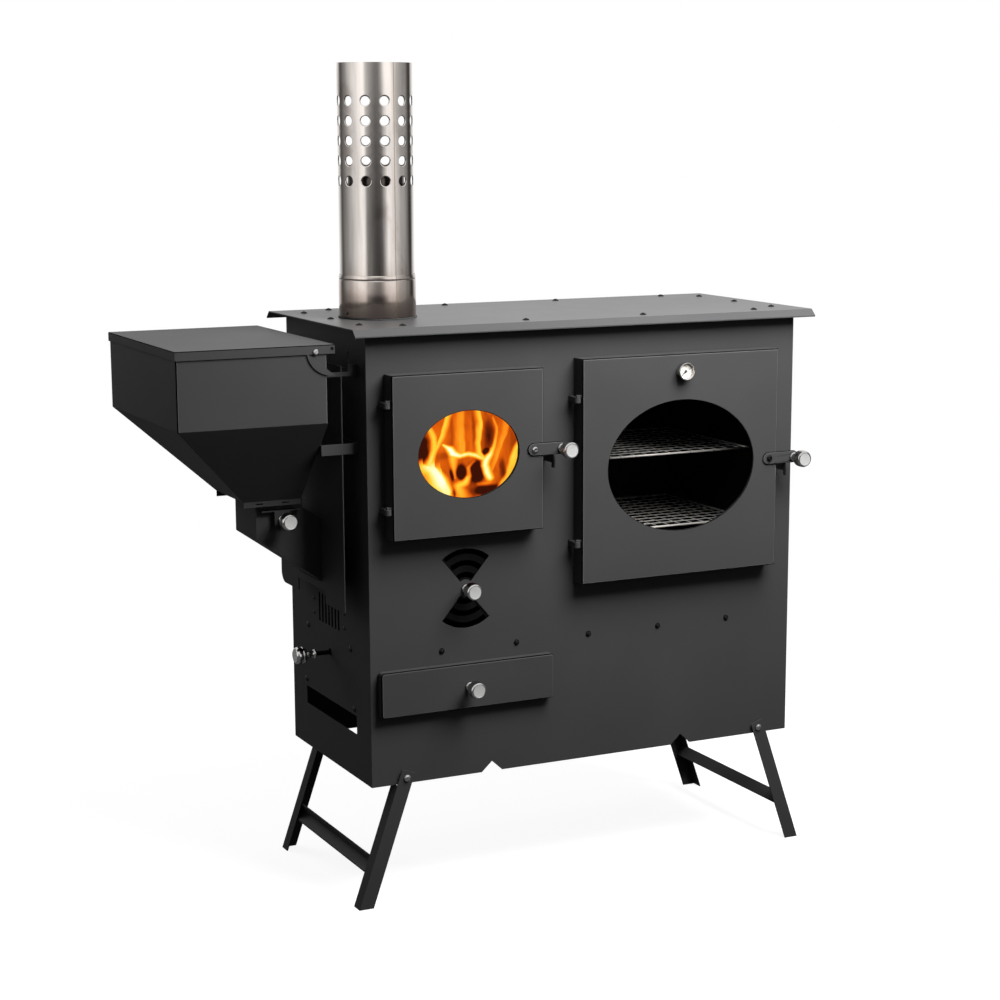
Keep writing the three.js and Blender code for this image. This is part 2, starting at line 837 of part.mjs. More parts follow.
// Hinge lug of the body, about its own vertical axis, reaching back to the front panel
function hingeLug(name, height) {
  const low = height - lugHeight / 2;
  const high = height + lugHeight / 2;
  const eye = barAlongZ(lugEyeRadius, low, high, 0, 0, plainSides);
  const shank = block(-lugWidth / 2, lugWidth / 2, 0, doorProud - hingeInset - seat, low, high);
  const bore = barAlongZ(hingeBoreRadius, low - overrun, high + overrun, 0, 0, smallSides);
  return piece(name, eye.add(shank).subtract(bore), "blackCoat");
}

// Hook on the door: an arm over the lug and a pin down through it
function hingeHook(height) {
  const low = height + lugHeight / 2 + seat;
  const arm = block(-hingePinRadius, hingeInset + sheet / 2, -hookWidth / 2, hookWidth / 2,
    low, low + hookThickness);
  const pinBottom = height - lugHeight / 2 - seat;
  return arm.add(barAlongZ(hingePinRadius, pinBottom, low + hookThickness, 0, 0, smallSides));
}

// Flat elliptic cutter along Y
function windowCut(centreX, width, height, front, back) {
  const outline = new THREE.Shape();
  outline.absellipse(centreX, 0, width / 2, height / 2, 0, Math.PI * 2, false, 0);
  return frontSlab(outline, front, back - front, fineSides);
}

// Door pan about its hinge axis, with window, hooks and the holes of what it carries
function doorPan(name, width, height, windowWidth, windowHeight, hingeSpread, holes) {
  const left = hingeInset;
  const right = left + width;
  const front = -hingeInset;
  const inner = front + sheet;
  const middle = left + width / 2;
  const pan = block(left, right, front, doorBack, -height / 2, height / 2);
  const hollow = block(left + sheet, right - sheet, inner, doorBack + overrun,
    sheet - height / 2, height / 2 - sheet);
  const view = windowCut(middle, windowWidth, windowHeight, front - overrun, inner + overrun);
  const hooks = joined([hingeHook(hingeSpread), hingeHook(-hingeSpread)]);
  return piece(name, pan.subtract(hollow).add(hooks).subtract(view).subtract(holes), "blackCoat");
}

function doorGlass(name, width, windowWidth, windowHeight) {
  const middle = hingeInset + width / 2;
  const halfWidth = windowWidth / 2 + glassMargin;
  const halfHeight = windowHeight / 2 + glassMargin;
  const front = sheet + seat - hingeInset;
  const pane = block(middle - halfWidth, middle + halfWidth, front, front + glassThickness,
    -halfHeight, halfHeight);
  return piece(name, pane, "glass");
}

// Tray-shaped frame that holds the glass against the pan
function glassFrame(name, width, windowWidth, windowHeight) {
  const middle = hingeInset + width / 2;
  const halfWidth = windowWidth / 2 + glassMargin + frameMargin;
  const halfHeight = windowHeight / 2 + glassMargin + frameMargin;
  const front = sheet + seat - hingeInset;
  const rest = front + glassThickness + seat;
  const left = middle - halfWidth;
  const right = middle + halfWidth;
  const outer = block(left, right, front, rest + sheet, -halfHeight, halfHeight);
  const hollow = block(left + sheet, right - sheet, front - overrun, rest,
    sheet - halfHeight, halfHeight - sheet);
  const view = windowCut(middle, windowWidth + frameWindowMargin, windowHeight + frameWindowMargin,
    front, rest + sheet + overrun);
  return piece(name, outer.subtract(hollow).subtract(view), "innerSteel");
}

// Lever strap about its pivot, flat on the door and reaching past the door's edge
function latchLever(name) {
  const outline = new THREE.Shape();
  outline.absarc(-latchTail, 0, latchHalfHeight, Math.PI / 2, Math.PI * 1.5, false);
  outline.lineTo(latchReach, -latchHalfHeight);
  outline.absarc(latchReach, 0, latchHalfHeight, -Math.PI / 2, Math.PI / 2, false);
  const strap = frontSlab(outline, -leverSheet, leverSheet, smallSides);
  const holes = joined([
    barAlongY(boreRadius, -leverSheet - overrun, overrun, 0, 0),
    barAlongY(boreRadius, -leverSheet - overrun, overrun, latchReach, 0),
  ]);
  return piece(name, strap.subtract(holes), "blackCoat");
}

// Tab on the body under the lever, drawn in Y and Z from the lever's lower edge
function keeper(name) {
  const top = -latchHalfHeight - keeperClearance;
  const bottom = top - keeperHeight;
  const outline = outlineOf([
    [-seat, top],
    [-seat, top - keeperNeck],
    [keeperFoot - keeperReach, top - keeperNeck],
    [keeperFoot - keeperReach, bottom],
    [-keeperReach, bottom],
    [-keeperReach, top],
  ]);
  return piece(name, sideSlab(outline, 0, keeperThickness), "blackCoat");
}

// Thermometer, its axis along Y and its back face on the door
function thermometerCase() {
  const bezel = thermometerProud - thermometerBezel;
  return piece("thermometer_case", turnedForward([
    [0, -stemLength],
    [stemRadius, -stemLength],
    [stemRadius, 0],
    [thermometerBarrel, 0],
    [thermometerBarrel, bezel],
    [thermometerRadius, bezel],
    [thermometerRadius, thermometerProud],
    [thermometerWell, thermometerProud],
    [thermometerWell, thermometerFloor],
    [spindleRadius, thermometerFloor],
    [spindleRadius, spindleTop],
    [0, spindleTop],
  ], plainSides), "brightSteel");
}

// Flat ring along Y between two heights
function flatRing(inner, outer, low, high, sides) {
  return turnedForward([[inner, low], [outer, low], [outer, high], [inner, high], [inner, low]], sides);
}

function thermometerDial() {
  const low = thermometerFloor + seat;
  const ring = flatRing(spindleRadius + seat, thermometerWell - seat, low, low + dialThickness, plainSides);
  return piece("thermometer_dial", ring, "dial");
}

function thermometerNeedle() {
  const low = thermometerFloor + seat * 2 + dialThickness;
  const hub = flatRing(spindleRadius + seat, needleHub, low, low + dialThickness, smallSides);
  const root = (spindleRadius + needleHub) / 2 + seat;
  const pointer = outlineOf([
    [root, -needleHalfWidth],
    [needleLength, -needleTipHalfWidth],
    [needleLength, needleTipHalfWidth],
    [root, needleHalfWidth],
  ]);
  const arm = frontSlab(pointer, -low - dialThickness, dialThickness);
  return piece("thermometer_needle", hub.add(arm), "needle");
}

function thermometerLens() {
  const top = thermometerProud - seat;
  const low = top - lensThickness;
  const radius = thermometerWell - seat;
  const disc = turnedForward([[0, low], [radius, low], [radius, top], [0, top]], plainSides);
  return piece("thermometer_lens", disc, "glass");
}

// Damper disc about its axle, its slots turned a little at rest
function airDamper() {
  const front = sheet + seat;
  const disc = barAlongY(damperDiscRadius, front, front + sheet, 0, 0, fineSides);
  const cuts = [];
  for (const middle of [Math.PI / 2, -Math.PI / 2]) {
    for (let i = 0; i < damperSlots; i++) {
      const outer = damperOuter - i * damperSlotPitch;
      const centre = middle - damperRestTurn;
      const inner = outer - damperSlotWidth;
      const sector = ringSector(inner, outer, centre - slotHalfAngle, centre + slotHalfAngle);
      cuts.push(frontSlab(sector, front - overrun, sheet + overrun * 2, holeSides));
    }
  }
  cuts.push(barAlongY(boreRadius, front - overrun, front + sheet + overrun, 0, 0));
  return piece("air_damper", disc.subtract(joined(cuts)), "innerSteel");
}

// Drawer front: a shallow pan with round corners
function drawerFront() {
  const right = drawerLeft + drawerWidth;
  const top = drawerBottom + drawerHeight;
  const outer = roundedRectangle(drawerLeft, right, drawerBottom, top, drawerCorner);
  const inner = roundedRectangle(drawerLeft + sheet, right - sheet, drawerBottom + sheet, top - sheet,
    drawerCorner - sheet);
  const pan = frontSlab(outer, -drawerProud, drawerProud - slack, holeSides);
  const hollow = frontSlab(inner, sheet - drawerProud, drawerProud, holeSides);
  const hole = barAlongY(boreRadius, -drawerProud - overrun, 0, drawerLeft + drawerWidth / 2,
    drawerBottom + drawerHeight / 2);
  return piece("ash_drawer_front", pan.subtract(hollow).subtract(hole), "blackCoat");
}

// Open tray behind the drawer front
function ashTray() {
  const left = drawerLeft + drawerLap + trayGap;
  const right = drawerLeft + drawerWidth - drawerLap - trayGap;
  const front = sheet + seat - drawerProud;
  const bottom = drawerBottom + drawerLap + slack;
  const top = bottom + trayHeight;
  const tray = block(left, right, front, trayDepth, bottom, top);
  const hollow = block(left + sheet, right - sheet, front + sheet, trayDepth - sheet,
    bottom + sheet, top + overrun);
  const hole = barAlongY(boreRadius, front - overrun, front + sheet + overrun, drawerLeft + drawerWidth / 2,
    drawerBottom + drawerHeight / 2);
  return piece("ash_tray", tray.subtract(hollow).subtract(hole), "innerSteel");
}

// Cradle under the tray: two ledges with upright webs and a strip joining them at the back
function drawerGuide() {
  const left = sheet + seat;
  const right = drawerLeft + drawerWidth;
  const top = drawerBottom + drawerLap + slack - seat;
  const low = top - sheet;
  const front = sheet + seat;
  const back = sideDepth - sheet - seat;
  const rails = joined([
    block(left, left + guideLedge, front, back, low, top),
    block(left, left + sheet, front, back, top - guideWeb, top),
    block(right - guideLedge, right, front, back, low, top),
    block(right - sheet, right, front, back, low, top + guideWeb),
    block(left, right, back - guideLedge, back, low, top),
    block(right - sheet, right + guideTab, front, front + sheet, low, top + guideWeb),
  ]);
  return piece("drawer_guide", rails, "innerSteel");
}

// Plate that closes the pot from below, its drop tab and the pull rod through the side
function ashSlide() {
  const left = potLeft - slack;
  const right = left + slideLength;
  const front = midDepth - slideWidth / 2;
  const back = midDepth + slideWidth / 2;
  const tabBottom = slideHeight - slideTabDrop;
  const plate = joined([
    block(left, right, front, back, slideHeight, slideHeight + sheet),
    block(left, left + sheet, midDepth - slideTabHalfWidth, midDepth + slideTabHalfWidth,
      tabBottom, slideHeight + sheet),
    barAlongX(rodRadius, -rodStickOut, left + sheet, midDepth, rodHeight),
  ]);
  return piece("ash_slide", plate, "blackScrew");
}

// Straight-edged funnel or box between rings of [left, right, front, back, height]
function loft(rings) {
  const places = [];
  for (const [left, right, front, back, height] of rings) {
    places.push(left, front, height, right, front, height, right, back, height, left, back, height);
  }
  const index = [0, 2, 1, 0, 3, 2];
  for (let ring = 0; ring < rings.length - 1; ring++) {
    for (let side = 0; side < 4; side++) {
      const a = ring * 4 + side;
      const b = ring * 4 + ((side + 1) % 4);
      index.push(a, b, b + 4, a, b + 4, a + 4);
    }
  }
  const last = (rings.length - 1) * 4;
  index.push(last, last + 1, last + 2, last, last + 2, last + 3);
  const geometry = new THREE.BufferGeometry();
  geometry.setAttribute("position", new THREE.Float32BufferAttribute(places, 3));
  geometry.setIndex(index);
  return solidOf(geometry);
}

// Small slots in the lip under the throat
function throatSlots() {
  const top = throatHeight - throatSlotDrop;
  const cuts = [];
  for (const left of [throatLeft + throatSlotInset, throatRight - throatSlotInset - throatSlotWidth]) {
    cuts.push(block(left, left + throatSlotWidth, throatFront - overrun, throatFront + sheet + overrun,
      top - throatSlotHeight, top));
  }
  return joined(cuts);
}

// Bin with its funnel, throat flange, lips and the lugs of the lid's hinge
function hopperBin() {
  const boxInner = [hopperLeft + sheet, hopperRight - sheet, hopperFront + sheet, hopperBack - sheet];
  const throatInner = [
    throatLeft + funnelWall, throatRight - sheet, throatFront + funnelWall, throatBack - funnelWall,
  ];
  const shell = loft([
    [throatLeft, throatRight, throatFront, throatBack, throatHeight],
    [hopperLeft, hopperRight, hopperFront, hopperBack, hopperBoxBottom],
    [hopperLeft, hopperRight, hopperFront, hopperBack, hopperBoxTop],
  ]);
  const space = loft([
    [...throatInner, throatHeight + sheet],
    [...boxInner, hopperBoxBottom],
    [...boxInner, hopperBoxTop + overrun],
  ]);
  const lipBottom = throatHeight - throatLip;
  const lips = joined([
    block(throatLeft, throatFlangeRight, throatFront, throatBack, throatHeight, throatHeight + sheet),
    block(throatLeft, throatRight, throatFront, throatFront + sheet, lipBottom, throatHeight + sheet),
    block(throatLeft, throatRight, throatBack - sheet, throatBack, lipBottom, throatHeight + sheet),
  ]);
  const outlet = block(chuteLeft + sheet, throatRight - outletInset, chuteFront + sheet, chuteBack - sheet,
    throatHeight - overrun, throatHeight + sheet + overrun);
  const lugs = [];
  const bores = [];
  for (const front of [hopperFront, hopperBack - sheet]) {
    lugs.push(block(hopperRight - sheet, lidPivotX, front, front + sheet,
      lidPivotZ - lidLugDepth, lidPivotZ + lidLugRadius));
    lugs.push(barAlongY(lidLugRadius, front, front + sheet, lidPivotX, lidPivotZ));
    bores.push(barAlongY(lidBoreRadius, front - overrun, front + sheet + overrun, lidPivotX, lidPivotZ));
  }
  const stopX = lidPivotX + lidSlotRadius * Math.cos(lidSlotStart);
  const stopZ = lidPivotZ + lidSlotRadius * Math.sin(lidSlotStart);
  bores.push(barAlongY(stopScrewRadius + seat, hopperFront - overrun, hopperFront + sheet + overrun,
    stopX, stopZ));
  const bin = shell.subtract(space).add(lips).subtract(outlet).add(joined(lugs));
  return piece("hopper_bin", bin.subtract(joined(bores)).subtract(throatSlots()), "blackCoat");
}

// Lid about its hinge pin: top sheet, three skirts and two slotted ears
function hopperLid() {
  const reach = sheet + seat;
  const left = hopperLeft - reach - lidPivotX;
  const right = hopperRight + lidOverhang - lidPivotX;
  const front = hopperFront - reach;
  const back = hopperBack + reach;
  const top = lidPivotDrop;
  const skirtBottom = top - lidSkirt;
  const parts = [
    block(left, right, front, back, top - sheet, top),
    block(left, right, front, front + sheet, skirtBottom, top),
    block(left, right, back - sheet, back, skirtBottom, top),
    block(left, left + sheet, front, back, skirtBottom, top),
  ];
  const earTop = skirtBottom + sheet;
  const ear = new THREE.Shape();
  ear.moveTo(right, earTop);
  ear.absarc(0, 0, lidEarRadius, Math.PI + Math.asin(-earTop / lidEarRadius), Math.PI * 1.5, false);
  ear.lineTo(right, -lidEarRadius);
  const halfTurn = lidSlotHalfWidth / lidSlotRadius;
  const slot = ringSector(lidSlotRadius - lidSlotHalfWidth, lidSlotRadius + lidSlotHalfWidth,
    lidSlotStart - halfTurn, lidSlotStart + lidSlotSweep);
  const cuts = [barAlongY(lidBoreRadius, front - overrun, back + overrun, 0, 0)];
  for (const face of [front, back - sheet]) {
    parts.push(frontSlab(ear, face, sheet, smallSides));
    cuts.push(frontSlab(slot, face - overrun, sheet + overrun * 2, smallSides));
  }
  return piece("hopper_lid", joined(parts).subtract(joined(cuts)), "blackCoat");
}

function lidHingePin() {
  const front = hopperFront - sheet - seat;
  const back = hopperBack + sheet + seat;
  return piece("lid_hinge_pin", barAlongY(lidPinRadius, front, back, lidPivotX, lidPivotZ), "blackScrew");
}

function lidStopScrew() {
  const face = hopperFront - sheet - seat * 2;
  const x = lidPivotX + lidSlotRadius * Math.cos(lidSlotStart);
  const z = lidPivotZ + lidSlotRadius * Math.sin(lidSlotStart);
  const shank = sheet * 2 + seat * 3;
  const screw = bolt(stopScrewHead, stopScrewCap, stopScrewRadius, shank, stopScrewHead, stopScrewTail);
  return piece("lid_stop_screw", screw.translate([x, face, z]), "brightSteel");
}

// Height of the chute's floor line and roof line at a given X
function chuteFloor(x) {
  return chuteKnee - (x - chuteLeft) * chuteSlope;
}

function chuteRoof(x) {
  return chuteShoulder - (x - chuteRight) * chuteSlope;
}

// Folded tube from the throat down into the pot, with slots for the gate
function pelletChute() {
  const top = throatHeight - seat;
  const end = potLeft + chuteEntry;
  const slopeWall = sheet * Math.hypot(1, chuteSlope);
  const outer = outlineOf([
    [chuteLeft, top],
    [chuteLeft, chuteKnee],
    [end, chuteFloor(end)],
    [end, chuteRoof(end)],
    [chuteRight, chuteShoulder],
    [chuteRight, top],
  ]);
  const left = chuteLeft + sheet;
  const right = chuteRight - sheet;
  const past = end + overrun;
  const inner = outlineOf([
    [left, top + overrun],
    [left, chuteFloor(left) + slopeWall],
    [past, chuteFloor(past) + slopeWall],
    [past, chuteRoof(past) - slopeWall],
    [right, chuteRoof(right) - slopeWall],
    [right, top + overrun],
  ]);
  const tube = frontSlab(outer, chuteFront, chuteBack - chuteFront);
  const bore = frontSlab(inner, chuteFront + sheet, chuteBack - chuteFront - sheet * 2);
  const slot = block(gateLeft - slack, gateRight + slack, chuteFront - overrun, chuteBack + overrun,
    gateHeight - seat, gateHeight + sheet + seat);
  return piece("pellet_chute", tube.subtract(bore).subtract(slot), "blackCoat");
}

// Sliding gate under the throat, with the folded tab that carries its knob
function hopperGate() {
  const front = chuteFront - gateNose;
  const tabBottom = gateHeight + sheet - gateTabDrop;
  const gate = joined([
    block(gateLeft, gateRight, front, chuteBack + gateOverlap, gateHeight, gateHeight + sheet),
    block(gateKnobX - gateTabHalfWidth, gateKnobX + gateTabHalfWidth, front, front + sheet,
      tabBottom, gateHeight + sheet),
  ]);
  const hole = barAlongY(boreRadius, front - overrun, front + sheet + overrun, gateKnobX, gateKnobHeight);
  return piece("hopper_gate", gate.subtract(hole), "blackCoat");
}

// Plate between hopper and body, with the chute hole, the strap notches and the foot notch
function heatShield() {
  const back = bodyDepth - shieldFront;
  const outline = new THREE.Shape();
  outline.moveTo(shieldFront, shieldBottom);
  outline.lineTo(shieldNotchFront, shieldBottom);
  outline.lineTo(shieldNotchFront, shieldNotchTop);
  outline.lineTo(shieldNotchBack, shieldNotchTop);
  outline.lineTo(shieldNotchBack, shieldBottom);
  outline.lineTo(back - shieldCorner, shieldBottom);
  outline.absarc(back - shieldCorner, shieldBottom + shieldCorner, shieldCorner, -Math.PI / 2, 0, false);
  outline.lineTo(back, shieldTop);
  outline.lineTo(shieldFront, shieldTop);
  const right = shieldX + sheet;
  const plate = sideSlab(outline, shieldX, sheet, holeSides);
  const cuts = [
    block(shieldX - overrun, right + overrun, chuteFront - slack, chuteBack + slack,
      chuteFloor(right) - slack, chuteRoof(shieldX) + slack),
  ];
  const notches = [[strapUpperBottom, strapUpperThin], [strapLowerBottom, strapLowerTop]];
  const depth = strapInset + sheet + seat;
  for (const [low, high] of notches) {
    cuts.push(block(shieldX - overrun, right + overrun, shieldFront - overrun, shieldFront + depth,
      low - seat, high + seat));
    cuts.push(block(shieldX - overrun, right + overrun, back - depth, back + overrun,
      low - seat, high + seat));
  }
  return piece("heat_shield", plate.subtract(joined(cuts)), "blackCoat");
}

// The two arms, the web on the body's side and the end flanges of a strap
function strapArms(reach, low, high) {
  const front = shieldFront + strapInset;
  const back = bodyDepth - front;
  const root = -seat;
  const flangeBack = front + strapFlange;
  return joined([
    block(-reach, root, front, front + sheet, low, high),
    block(-reach, root, back - sheet, back, low, high),
    block(root - sheet, root, front, back, low, high),
    block(-reach, sheet - reach, front, flangeBack, low, high),
    block(-reach, sheet - reach, back - strapFlange, back, low, high),
  ]);
}

function strapUpper() {
  const front = shieldFront + strapInset;
  const back = bodyDepth - front;
  const reach = -hopperRight - seat;
  const root = -seat;
  const extra = [];
  for (const face of [front, back - sheet]) {
    extra.push(block(-strapStep, root, face, face + sheet, strapUpperBottom, strapUpperTall));
  }
  extra.push(block(-strapStep, sheet - strapStep, front, front + strapFinDepth,
    strapUpperBottom, strapFinTop));
  extra.push(block(-strapStep, sheet - strapStep, back - strapFinDepth, back,
    strapUpperBottom, strapFinTop));
  const arms = strapArms(reach, strapUpperBottom, strapUpperThin);
  return piece("hopper_strap_upper", arms.add(joined(extra)), "blackCoat");
}

function strapLower() {
  const arms = strapArms(lowerStrapReach, strapLowerBottom, strapLowerTop);
  return piece("hopper_strap_lower", arms, "blackCoat");
}

// Point of a leg from its pivot: along the leg, and inwards across it
function legPoint(side, along, inward) {
  const x = side * (along * Math.sin(splay) - inward * Math.cos(splay));
  return [x, -along * Math.cos(splay) - inward * Math.sin(splay)];
}

// Distance along the leg at which it meets the ground, at a given inward place
function footReach(inward) {
  return (pivotRise + standHeight - inward * Math.sin(splay)) / Math.cos(splay);
}

// Long strip of a leg between two inward places, cut level at the foot
function legStrip(side, start, outer, inner) {
  return outlineOf([
    legPoint(side, start, outer),
    legPoint(side, footReach(outer), outer),
    legPoint(side, footReach(inner), inner),
    legPoint(side, start, inner),
  ]);
}

// Angle crossbar with its apex towards the middle of the stove
function crossbarOutline(side) {
  const half = crossbarFlange * Math.SQRT1_2;
  const wall = sheet * Math.SQRT2;
  return outlineOf([
    legPoint(side, crossbarPlace, crossbarApex),
    legPoint(side, crossbarPlace - half, crossbarApex - half),
    legPoint(side, crossbarPlace - half + wall, crossbarApex - half),
    legPoint(side, crossbarPlace, crossbarApex - wall),
    legPoint(side, crossbarPlace + half - wall, crossbarApex - half),
    legPoint(side, crossbarPlace + half, crossbarApex - half),
  ]);
}

// Folding frame about its pivot line: a front leg, a back leg and the crossbar
function legFrame(name, side) {
  const front = -legStandOff - sheet;
  const back = bodyDepth + legStandOff;
  const plate = legStrip(side, -legTop, -legOuter, legInner);
  const turnedEdge = legStrip(side, legReturnStart, -legOuter, sheet - legOuter);
  const frame = joined([
    frontSlab(plate, front, sheet),
    frontSlab(plate, back, sheet),
    frontSlab(turnedEdge, front, legReturn),
    frontSlab(turnedEdge, back + sheet - legReturn, legReturn),
    frontSlab(crossbarOutline(side), front + sheet / 2, back - front),
  ]);
  const bores = joined([
    barAlongY(boreRadius, front - overrun, front + sheet + overrun, 0, 0),
    barAlongY(boreRadius, back - overrun, back + sheet + overrun, 0, 0),
  ]);
  return piece(name, frame.subtract(bores), "blackCoat");
}

// Pivot bolt: cap, shank through the leg, washer against the panel, nut inside
function legPivot(name, facing) {
  const washerFront = -sheet - seat * 2;
  const panelFace = -legStandOff - sheet - seat;
  const shankEnd = panelFace - sheet - seat;
  const washerBack = -legStandOff - sheet;
  const bolted = turnedForward([
    [0, shankEnd - pivotNutHeight],
    [pivotNut, shankEnd - pivotNutHeight],
    [pivotNut, shankEnd],
    [pivotShank, shankEnd],
    [pivotShank, washerBack],
    [pivotWasher, washerBack],
    [pivotWasher, washerFront],
    [pivotShank, washerFront],
    [pivotShank, 0],
    [pivotHead, 0],
    [pivotHead, pivotCap / 2],
    [pivotShank, pivotCap],
    [0, pivotCap],
  ], smallSides);
  const solid = facing < 0 ? bolted : bolted.rotate([0, 0, 180]);
  return piece(name, solid, "brightSteel");
}

// Ring on the hot plate that the chimney stands over
function chimneyCollar() {
  const outer = sleeveRadius - sleeveWall - seat;
  const inner = outer - sheet;
  return piece("chimney_collar", turnedUp([
    [inner, seat],
    [collarFlange, seat],
    [collarFlange, seat + sheet],
    [outer, seat + sheet],
    [outer, collarHeight],
    [inner, collarHeight],
    [inner, seat],
  ], fineSides), "blackCoat");
}

// Wider ring round the foot of the sleeve, crimped in at its top
function chimneyBaseRing() {
  const low = seat * 2 + sheet;
  const inner = sleeveRadius + seat;
  const crimpFoot = baseRingHeight - baseRingCrimp;
  return piece("chimney_base_ring", turnedUp([
    [inner, low],
    [baseRingRadius, low],
    [baseRingRadius, crimpFoot],
    [inner + seat, baseRingHeight],
    [inner, baseRingHeight],
    [inner, low],
  ], fineSides), "stainless");
}

function chimneySleeve() {
  const low = seat * 2 + sheet;
  const inner = sleeveRadius - sleeveWall;
  const tube = turnedUp([
    [inner, low],
    [sleeveRadius, low],
    [sleeveRadius, chimneyHeight],
    [inner, chimneyHeight],
    [inner, low],
  ], fineSides);
  const holes = [];
  for (let row = 0; row < perforationRows; row++) {
    const height = chimneyHeight - perforationDrop - row * perforationPitch;
    for (let i = 0; i < perforationsRound / 2; i++) {
      const drill = new THREE.CylinderGeometry(perforationRadius, perforationRadius,
        (sleeveRadius + overrun) * 2, holeSides);
      drill.rotateZ(((i + perforationTurnShare) * Math.PI * 2) / perforationsRound);
      drill.translate(0, 0, height);
      holes.push(solidOf(drill));
    }
  }
  return piece("chimney_sleeve", tube.subtract(joined(holes)), "stainless");
}

// Inner pipe, with a bead that rests on the hot plate
function fluePipe() {
  const inner = fluePipeRadius - fluePipeWall;
  const top = chimneyHeight - fluePipeShort;
  return piece("flue_pipe", turnedUp([
    [inner, -fluePipeTail],
    [fluePipeRadius, -fluePipeTail],
    [fluePipeRadius, seat],
    [fluePipeRadius + flueBead, seat],
    [fluePipeRadius + flueBead, seat + flueBeadHeight],
    [fluePipeRadius, seat + flueBeadHeight],
    [fluePipeRadius, top],
    [inner, top],
    [inner, -fluePipeTail],
  ], fineSides), "stainless");
}

// Group at a place, with its pieces
function groupAt(name, x, y, z, pieces) {
  const group = new THREE.Group();
  group.name = name;
  group.position.set(x, y, z);
  for (const one of pieces) group.add(one);
  return group;
}

// Lever, knob and screw of one door's latch
function latchParts(prefix, doorWidth) {
  const x = hingeInset + doorWidth - latchInset;
  const leverFace = -hingeInset - seat;
  const leverKnob = knob(prefix + "_latch_knob", leverSheet);
  leverKnob.position.set(latchReach, -leverSheet - seat, 0);
  const lever = groupAt(prefix + "_latch_pivot", x, leverFace, 0,
    [latchLever(prefix + "_latch"), leverKnob]);
  const shank = leverSheet + sheet + seat * 3;
  const screw = bolt(latchScrewHead, latchScrewCap, latchScrewRadius, shank, latchScrewHead, latchNutHeight);
  const screwPiece = piece(prefix + "_latch_screw", screw, prefix === "oven" ? "blackScrew" : "brightSteel");
  screwPiece.position.set(x, leverFace - leverSheet - seat, 0);
  return [lever, screwPiece];
}

// Fixed lugs and keeper of one door
function doorHardware(prefix, doorWidth, spread) {
  const tab = keeper(prefix + "_keeper");
  tab.position.set(hingeInset + doorWidth + keeperOffset, -doorAxisY, 0);
  return [
    hingeLug(prefix + "_hinge_upper", spread),
    hingeLug(prefix + "_hinge_lower", -spread),
    tab,
  ];
}

function fireboxDoor() {
  const x = fireDoorLeft - hingeInset;
  const latchX = hingeInset + fireDoorWidth - latchInset;
  const latchHole = barAlongY(boreRadius, -hingeInset - overrun, 0, latchX, 0);
  const moving = [
    doorPan("firebox_door", fireDoorWidth, fireDoorHeight, fireWindowWidth, fireWindowHeight,
      fireHingeSpread, latchHole),
    doorGlass("firebox_glass", fireDoorWidth, fireWindowWidth, fireWindowHeight),
    glassFrame("firebox_glass_frame", fireDoorWidth, fireWindowWidth, fireWindowHeight),
    ...latchParts("firebox", fireDoorWidth),
  ];
  const fixed = doorHardware("firebox", fireDoorWidth, fireHingeSpread);
  return [
    groupAt("firebox_door_hinge", x, doorAxisY, fireDoorCentre, moving),
    groupAt("firebox_door_hardware", x, doorAxisY, fireDoorCentre, fixed),
  ];
}

// Thermometer parts, with the needle at its resting angle
function thermometer() {
  const needle = thermometerNeedle();
  needle.rotation.y = -needleRestTurn;
  const middle = hingeInset + ovenDoorWidth / 2;
  const height = thermometerHeight - ovenDoorCentre;
  const parts = [thermometerCase(), thermometerDial(), needle, thermometerLens()];
  return groupAt("thermometer_axis", middle, -hingeInset - seat, height, parts);
}

function ovenDoor() {
  const x = ovenDoorLeft - hingeInset;
  const middle = hingeInset + ovenDoorWidth / 2;
  const height = thermometerHeight - ovenDoorCentre;
  const holes = joined([
    barAlongY(boreRadius, -hingeInset - overrun, 0, hingeInset + ovenDoorWidth - latchInset, 0),
    barAlongY(stemRadius + seat, -hingeInset - overrun, 0, middle, height),
  ]);
  const moving = [
    doorPan("oven_door", ovenDoorWidth, ovenDoorHeight, ovenWindowWidth, ovenWindowHeight, ovenHingeSpread, holes),
    doorGlass("oven_glass", ovenDoorWidth, ovenWindowWidth, ovenWindowHeight),
    glassFrame("oven_glass_frame", ovenDoorWidth, ovenWindowWidth, ovenWindowHeight),
    ...latchParts("oven", ovenDoorWidth),
    thermometer(),
  ];
  const fixed = doorHardware("oven", ovenDoorWidth, ovenHingeSpread);
  return [
    groupAt("oven_door_hinge", x, doorAxisY, ovenDoorCentre, moving),
    groupAt("oven_door_hardware", x, doorAxisY, ovenDoorCentre, fixed),
  ];
}

function damper() {
  const turning = knob("air_damper_knob", sheet + seat);
  turning.position.set(0, -seat, 0);
  return groupAt("air_damper_axis", damperX, 0, damperHeight, [airDamper(), turning]);
}

function ashDrawer() {
  const pull = knob("ash_drawer_knob", sheet * 2);
  pull.position.set(drawerLeft + drawerWidth / 2, -drawerProud - seat, drawerBottom + drawerHeight / 2);
  return groupAt("ash_drawer_slide", 0, 0, 0, [drawerFront(), ashTray(), pull]);
}

// Slide plate and rod, with the knob turned to point left
function ashSlideParts() {
  const pull = knob("ash_slide_knob", 0);
  pull.rotation.z = -Math.PI / 2;
  pull.position.set(-rodStickOut - seat, midDepth, rodHeight);
  return groupAt("ash_slide_rod", 0, 0, 0, [ashSlide(), pull]);
}

